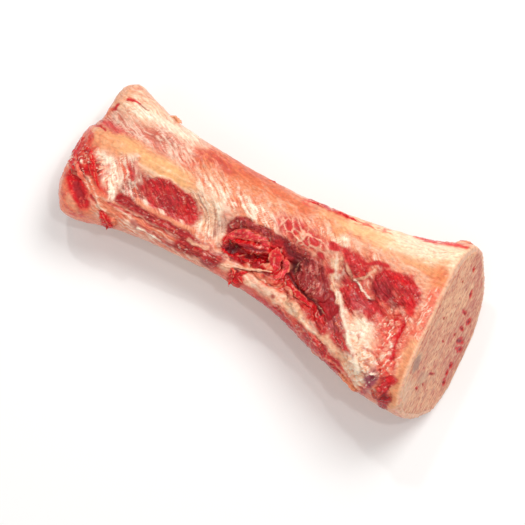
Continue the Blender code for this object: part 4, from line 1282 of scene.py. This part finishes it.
def flap(look, name, grounds):
    """A torn flap or string of flesh along a route, pointed where it has no width."""
    tone_name, tint, widths, thickness, route = FLAPS[name]
    form = bmesh.new()
    bmesh.ops.create_uvsphere(form, u_segments=FLAP_SIDES, v_segments=FLAP_STEPS, radius=1.0)
    data = mesh_of(form, name)
    made = add_object(name, data)

    stations = route_points(route, grounds)
    steps = np.linspace(0, len(stations) - 1, FLAP_STEPS + 1)
    line = np.stack([np.interp(steps, range(len(stations)), row) for row in stations.T], axis=1)
    for _ in range(FLAP_ROUNDS):
        line[1:-1] = (line[:-2] + 2 * line[1:-1] + line[2:]) / 4
    ahead = np.gradient(line, axis=0)
    ahead /= np.linalg.norm(ahead, axis=1)[:, None]
    side = np.cross(seen_directions()[0], ahead)
    side /= np.linalg.norm(side, axis=1)[:, None]
    upwards = np.cross(ahead, side)

    # The sphere's points as a share along the flap, and as a direction across it and above it
    round_points = read(data.vertices, "co")
    share = np.arccos(np.clip(-round_points[:, 2], -1, 1)) / math.pi
    ring = np.hypot(round_points[:, 0], round_points[:, 1])
    across = round_points[:, 0] / np.maximum(ring, 1e-6)
    above = round_points[:, 1] / np.maximum(ring, 1e-6)
    closing = np.minimum(1.0, 2.0 * ring)
    width = np.interp(share, np.linspace(0, 1, len(widths)), widths) * closing
    width *= 1 + 0.3 * value_noise(np.stack([share * 9, np.sign(across) * 5, share * 0], axis=1), len(name))
    thick = np.minimum(thickness, 0.7 * width + 0.1) * closing

    def at(rows):
        """Values of the route's steps, for each of the points."""
        step = share * FLAP_STEPS
        return np.stack([np.interp(step, range(FLAP_STEPS + 1), row) for row in rows.T], axis=1)

    points = at(line) + at(side) * (across * width)[:, None] + at(upwards) * (above * thick)[:, None]
    bend = value_noise(points / 4.5, 7) * np.minimum(1.0, width / 2)
    points += at(upwards) * bend[:, None]
    write(data.vertices, "co", points * MM)
    data.update()
    data.shade_smooth()

    tone = tones(look)
    skin = Surface(data, getattr(tone, tone_name) * tint)
    everywhere = np.ones(skin.count)
    skin.upper[:] = 1.0
    skin.wet[:] = 1.0
    skin.lay(smooth(0.6, 1.0, np.abs(across)) * 0.4, tone.coral * (1.15, 2.2, 2.2))
    blotch = tone.orange if tone_name == "cream" else tone.dark_red
    skin.mottle(everywhere, 4, blotch, 0.55, 0.05, -0.2, 341)
    turn = math.degrees(math.atan2(route[-1][1] - route[0][1], route[-1][0] - route[0][0]))
    skin.strands(everywhere, turn, 1.5, 2.5, tone.coral * (1.15, 2.6, 2.4), 0.6, 0.15, 0.16, 343)
    skin.rise += 0.3 * clouds(skin.points, 2.4, 2, 345)
    skin.rise *= look.relief
    skin.finish()
    return made


# Stage


def aimed(name, data, place, target):
    """A lamp or the camera at a place, looking at another."""
    made = add_object(name, data)
    direction = Vector(target) - Vector(place)
    made.matrix_world = direction.to_track_quat("-Z", "Y").to_matrix().to_4x4()
    made.location = place
    return made


def lamp(name, place, target, size, power, colour=(1.0, 1.0, 1.0)):
    """A soft square lamp."""
    light = bpy.data.lights.new(name, "AREA")
    light.size = size
    light.energy = power
    light.color = colour
    aimed(name, light, place, target)


def stage(look):
    """Pale floor, soft lamps and the camera over the bone."""
    form = bmesh.new()
    bmesh.ops.create_grid(form, x_segments=1, y_segments=1, size=3.0)
    floor = add_object("floor", mesh_of(form, "floor"))
    paper = Nodes("pale_floor")
    fill_in(paper.shader, {"Base Color": (*look.floor_tone, 1), "Roughness": 0.8})
    floor.data.materials.append(paper.material)

    world = bpy.data.worlds.new("soft_room")
    world.use_nodes = True
    background = world.node_tree.nodes["Background"]
    fill_in(background, {"Color": (1.0, 0.98, 0.96, 1), "Strength": look.room_light})
    bpy.context.scene.world = world
    middle = (0.0, -0.01, 0.04)
    lamp("main_lamp", (0.15, 0.6, 1.05), middle, 0.5, look.main_light, (1.0, 0.985, 0.96))
    lamp("spark_lamp", (0.25, 0.1, 1.3), middle, 0.06, look.main_light * 0.2)
    lamp("side_spark_lamp", (-0.45, 0.5, 1.0), middle, 0.06, look.main_light * 0.2)
    lamp("fill_lamp", (-0.3, -0.8, 0.8), middle, 1.2, look.main_light * 0.35)
    bpy.context.scene.view_settings.view_transform = "Standard"

    back, _, _ = seen_directions()
    target = Vector((LINE_X + 0.5, LINE_Y, SEEN_LEVEL)) * MM
    place = target + Vector(back) * SEEN_DISTANCE * MM
    camera = bpy.data.cameras.new("camera")
    camera.lens = LENS
    bpy.context.scene.camera = aimed("camera", camera, place, target)


# The panel's values and buttons


def colour(name, description, default):
    """A colour, for the panel."""
    return FloatVectorProperty(
        name=name, description=description, subtype="COLOR", size=3, min=0, max=1, default=default
    )


def length(name, description, default):
    """A length in millimetres, for the panel."""
    return FloatProperty(name=name, description=description, default=default, min=0.1, max=20)


class MarrowBoneLook(bpy.types.PropertyGroup):
    """Sizes and colours of the raw bone that a user would change."""

    skin_face: length("Skin face", "Size of a face of the bone's skin, in millimetres", 1.65)
    cut_face: length("Cut face", "Size of a face of the sawn spongy bone, in millimetres", 0.8)
    muscle_face: length("Muscle face", "Size of a face of a scrap of muscle, in millimetres", 0.7)
    relief: FloatProperty(
        name="Relief", description="Height of fibres and lumps", default=1.0, min=0, max=3, subtype="FACTOR"
    )
    shine: FloatProperty(
        name="Shine", description="Wet film on the flesh", default=0.18, min=0, max=1, subtype="FACTOR"
    )
    softness: FloatProperty(
        name="Softness", description="Light let into the flesh", default=0.12, min=0, max=1, subtype="FACTOR"
    )
    cream: colour("Cream", "Membrane over bone", (0.84, 0.55, 0.37))
    pale: colour("Pale yellow", "Ridge to the saw cut", (0.9, 0.66, 0.41))
    # White is also laid as painted glints and highlights on wet flesh and fat
    white: colour("White", "Tendon and sinew", (0.9, 0.74, 0.57))
    fat: colour("Fat", "Wrinkled fat", (0.82, 0.6, 0.45))
    orange: colour("Orange", "Thin skin on the bone", (0.76, 0.26, 0.115))
    tan: colour("Tan", "Smooth yellow ridge", (0.78, 0.38, 0.165))
    knob: colour("Knob", "Cartilage of the joint", (0.8, 0.38, 0.22))
    salmon: colour("Salmon", "Pink connective tissue", (0.66, 0.125, 0.07))
    coral: colour("Coral", "Wet band by the saw cut", (0.72, 0.115, 0.07))
    # Mauve is laid on the joint's valley, the hidden side, the sawn face and as streaks in the dark muscle
    mauve: colour("Mauve", "Bruised membrane", (0.52, 0.16, 0.12))
    pink: colour("Pink", "Lean strip on the low side", (0.7, 0.235, 0.15))
    red: colour("Muscle", "Muscle", (0.5, 0.022, 0.024))
    wet_red: colour("Wet muscle", "Fresh torn muscle", (0.56, 0.006, 0.01))
    dark_red: colour("Dark muscle", "Muscle in the hollow", (0.3, 0.01, 0.014))
    # Crevice is laid as painted shade in holes, gaps and crevices
    deep: colour("Crevice", "Bottom of a tear", (0.13, 0.006, 0.01))
    brown: colour("Brown", "Dried muscle", (0.38, 0.085, 0.06))
    plum: colour("Plum", "Striated purple muscle", (0.33, 0.035, 0.035))
    grey: colour("Grey", "Thin wet film", (0.45, 0.24, 0.19))
    spongy: colour("Spongy bone", "Sawn spongy bone", (0.67, 0.265, 0.165))
    floor_tone: colour("Floor", "Floor", (0.9, 0.9, 0.9))
    room_light: FloatProperty(name="Room light", description="Light from all round", default=0.48, min=0)
    main_light: FloatProperty(
        name="Main lamp", description="Power of the main lamp", default=8.3, min=0, unit="POWER"
    )


class MARROW_OT_stage(bpy.types.Operator):
    """Add the floor, lamps and camera"""

    bl_idname = "marrow.stage"
    bl_label = "Stage"

    def execute(self, context):
        stage(context.scene.marrow_bone)
        return {"FINISHED"}


class MARROW_OT_bone_skin(bpy.types.Operator):
    """Dress the bone in its skin, down to the rim of the saw cut"""

    bl_idname = "marrow.bone_skin"
    bl_label = "Bone skin"

    def execute(self, context):
        made = bone_skin(context.scene.marrow_bone)
        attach(made, "root")
        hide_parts("bone")
        return {"FINISHED"}


class MARROW_OT_spongy_face(bpy.types.Operator):
    """Fill the saw cut with spongy bone"""

    bl_idname = "marrow.spongy_face"
    bl_label = "Spongy face"

    def execute(self, context):
        made = spongy_plug(context.scene.marrow_bone)
        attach(made, "root")
        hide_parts("spongy_bone")
        return {"FINISHED"}


class MARROW_OT_scraps(bpy.types.Operator):
    """Lay the scraps of muscle and fat on the bone"""

    bl_idname = "marrow.scraps"
    bl_label = "Muscle and fat"

    def execute(self, context):
        look = context.scene.marrow_bone
        finish = flesh("raw_flesh", look)
        under = smooth_bone("under_scraps", voxel=3.0, rounds=8)
        ground = BVHTree.FromObject(under, bpy.context.evaluated_depsgraph_get())
        bpy.data.objects.remove(under)
        for subpart in frame["record"]["subparts"]:
            name = subpart["node"]
            if name in ("bone", "spongy_bone"):
                continue
            made = pad(look, name, ground)
            made.data.materials.append(finish)
            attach(made, "root")
            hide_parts(name)
        return {"FINISHED"}


class MARROW_OT_flaps(bpy.types.Operator):
    """Tear flaps, strings and tags off the muscle"""

    bl_idname = "marrow.flaps"
    bl_label = "Torn flaps"

    def execute(self, context):
        look = context.scene.marrow_bone
        finish = flesh("torn_flesh", look)
        below = [each for each in context.scene.objects if each.name.endswith(("bone_skin", "_piece"))]
        if not below:
            raise RuntimeError("The bone and its scraps are added before the flaps")
        graph = context.evaluated_depsgraph_get()
        grounds = [BVHTree.FromObject(each, graph) for each in below]
        for name in FLAPS:
            made = flap(look, name, grounds)
            made.data.materials.append(finish)
            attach(made, "root")
        return {"FINISHED"}


class MARROW_PT_panel(bpy.types.Panel):
    """Buttons for the pieces, and the values they are made from"""

    bl_label = "Marrow Bone"
    bl_idname = "MARROW_PT_panel"
    bl_space_type = "VIEW_3D"
    bl_region_type = "UI"
    bl_category = "Marrow Bone"

    def draw(self, context):
        for operator in OPERATORS:
            self.layout.operator(operator.bl_idname)
        for name in MarrowBoneLook.__annotations__:
            self.layout.prop(context.scene.marrow_bone, name)


OPERATORS = (
    MARROW_OT_stage, MARROW_OT_bone_skin, MARROW_OT_spongy_face, MARROW_OT_scraps, MARROW_OT_flaps
)


def register():
    """Makes the values, buttons and panel known."""
    for each in (MarrowBoneLook, *OPERATORS, MARROW_PT_panel):
        bpy.utils.register_class(each)
    bpy.types.Scene.marrow_bone = PointerProperty(type=MarrowBoneLook)


def unregister():
    """Takes them away again."""
    del bpy.types.Scene.marrow_bone
    for each in (MARROW_PT_panel, *reversed(OPERATORS), MarrowBoneLook):
        bpy.utils.unregister_class(each)


def main():
    """Adds the stage and every piece by its button."""
    register()
    bpy.ops.marrow.stage()
    bpy.ops.marrow.bone_skin()
    bpy.ops.marrow.spongy_face()
    bpy.ops.marrow.scraps()
    bpy.ops.marrow.flaps()


if __name__ == "__main__":
    main()
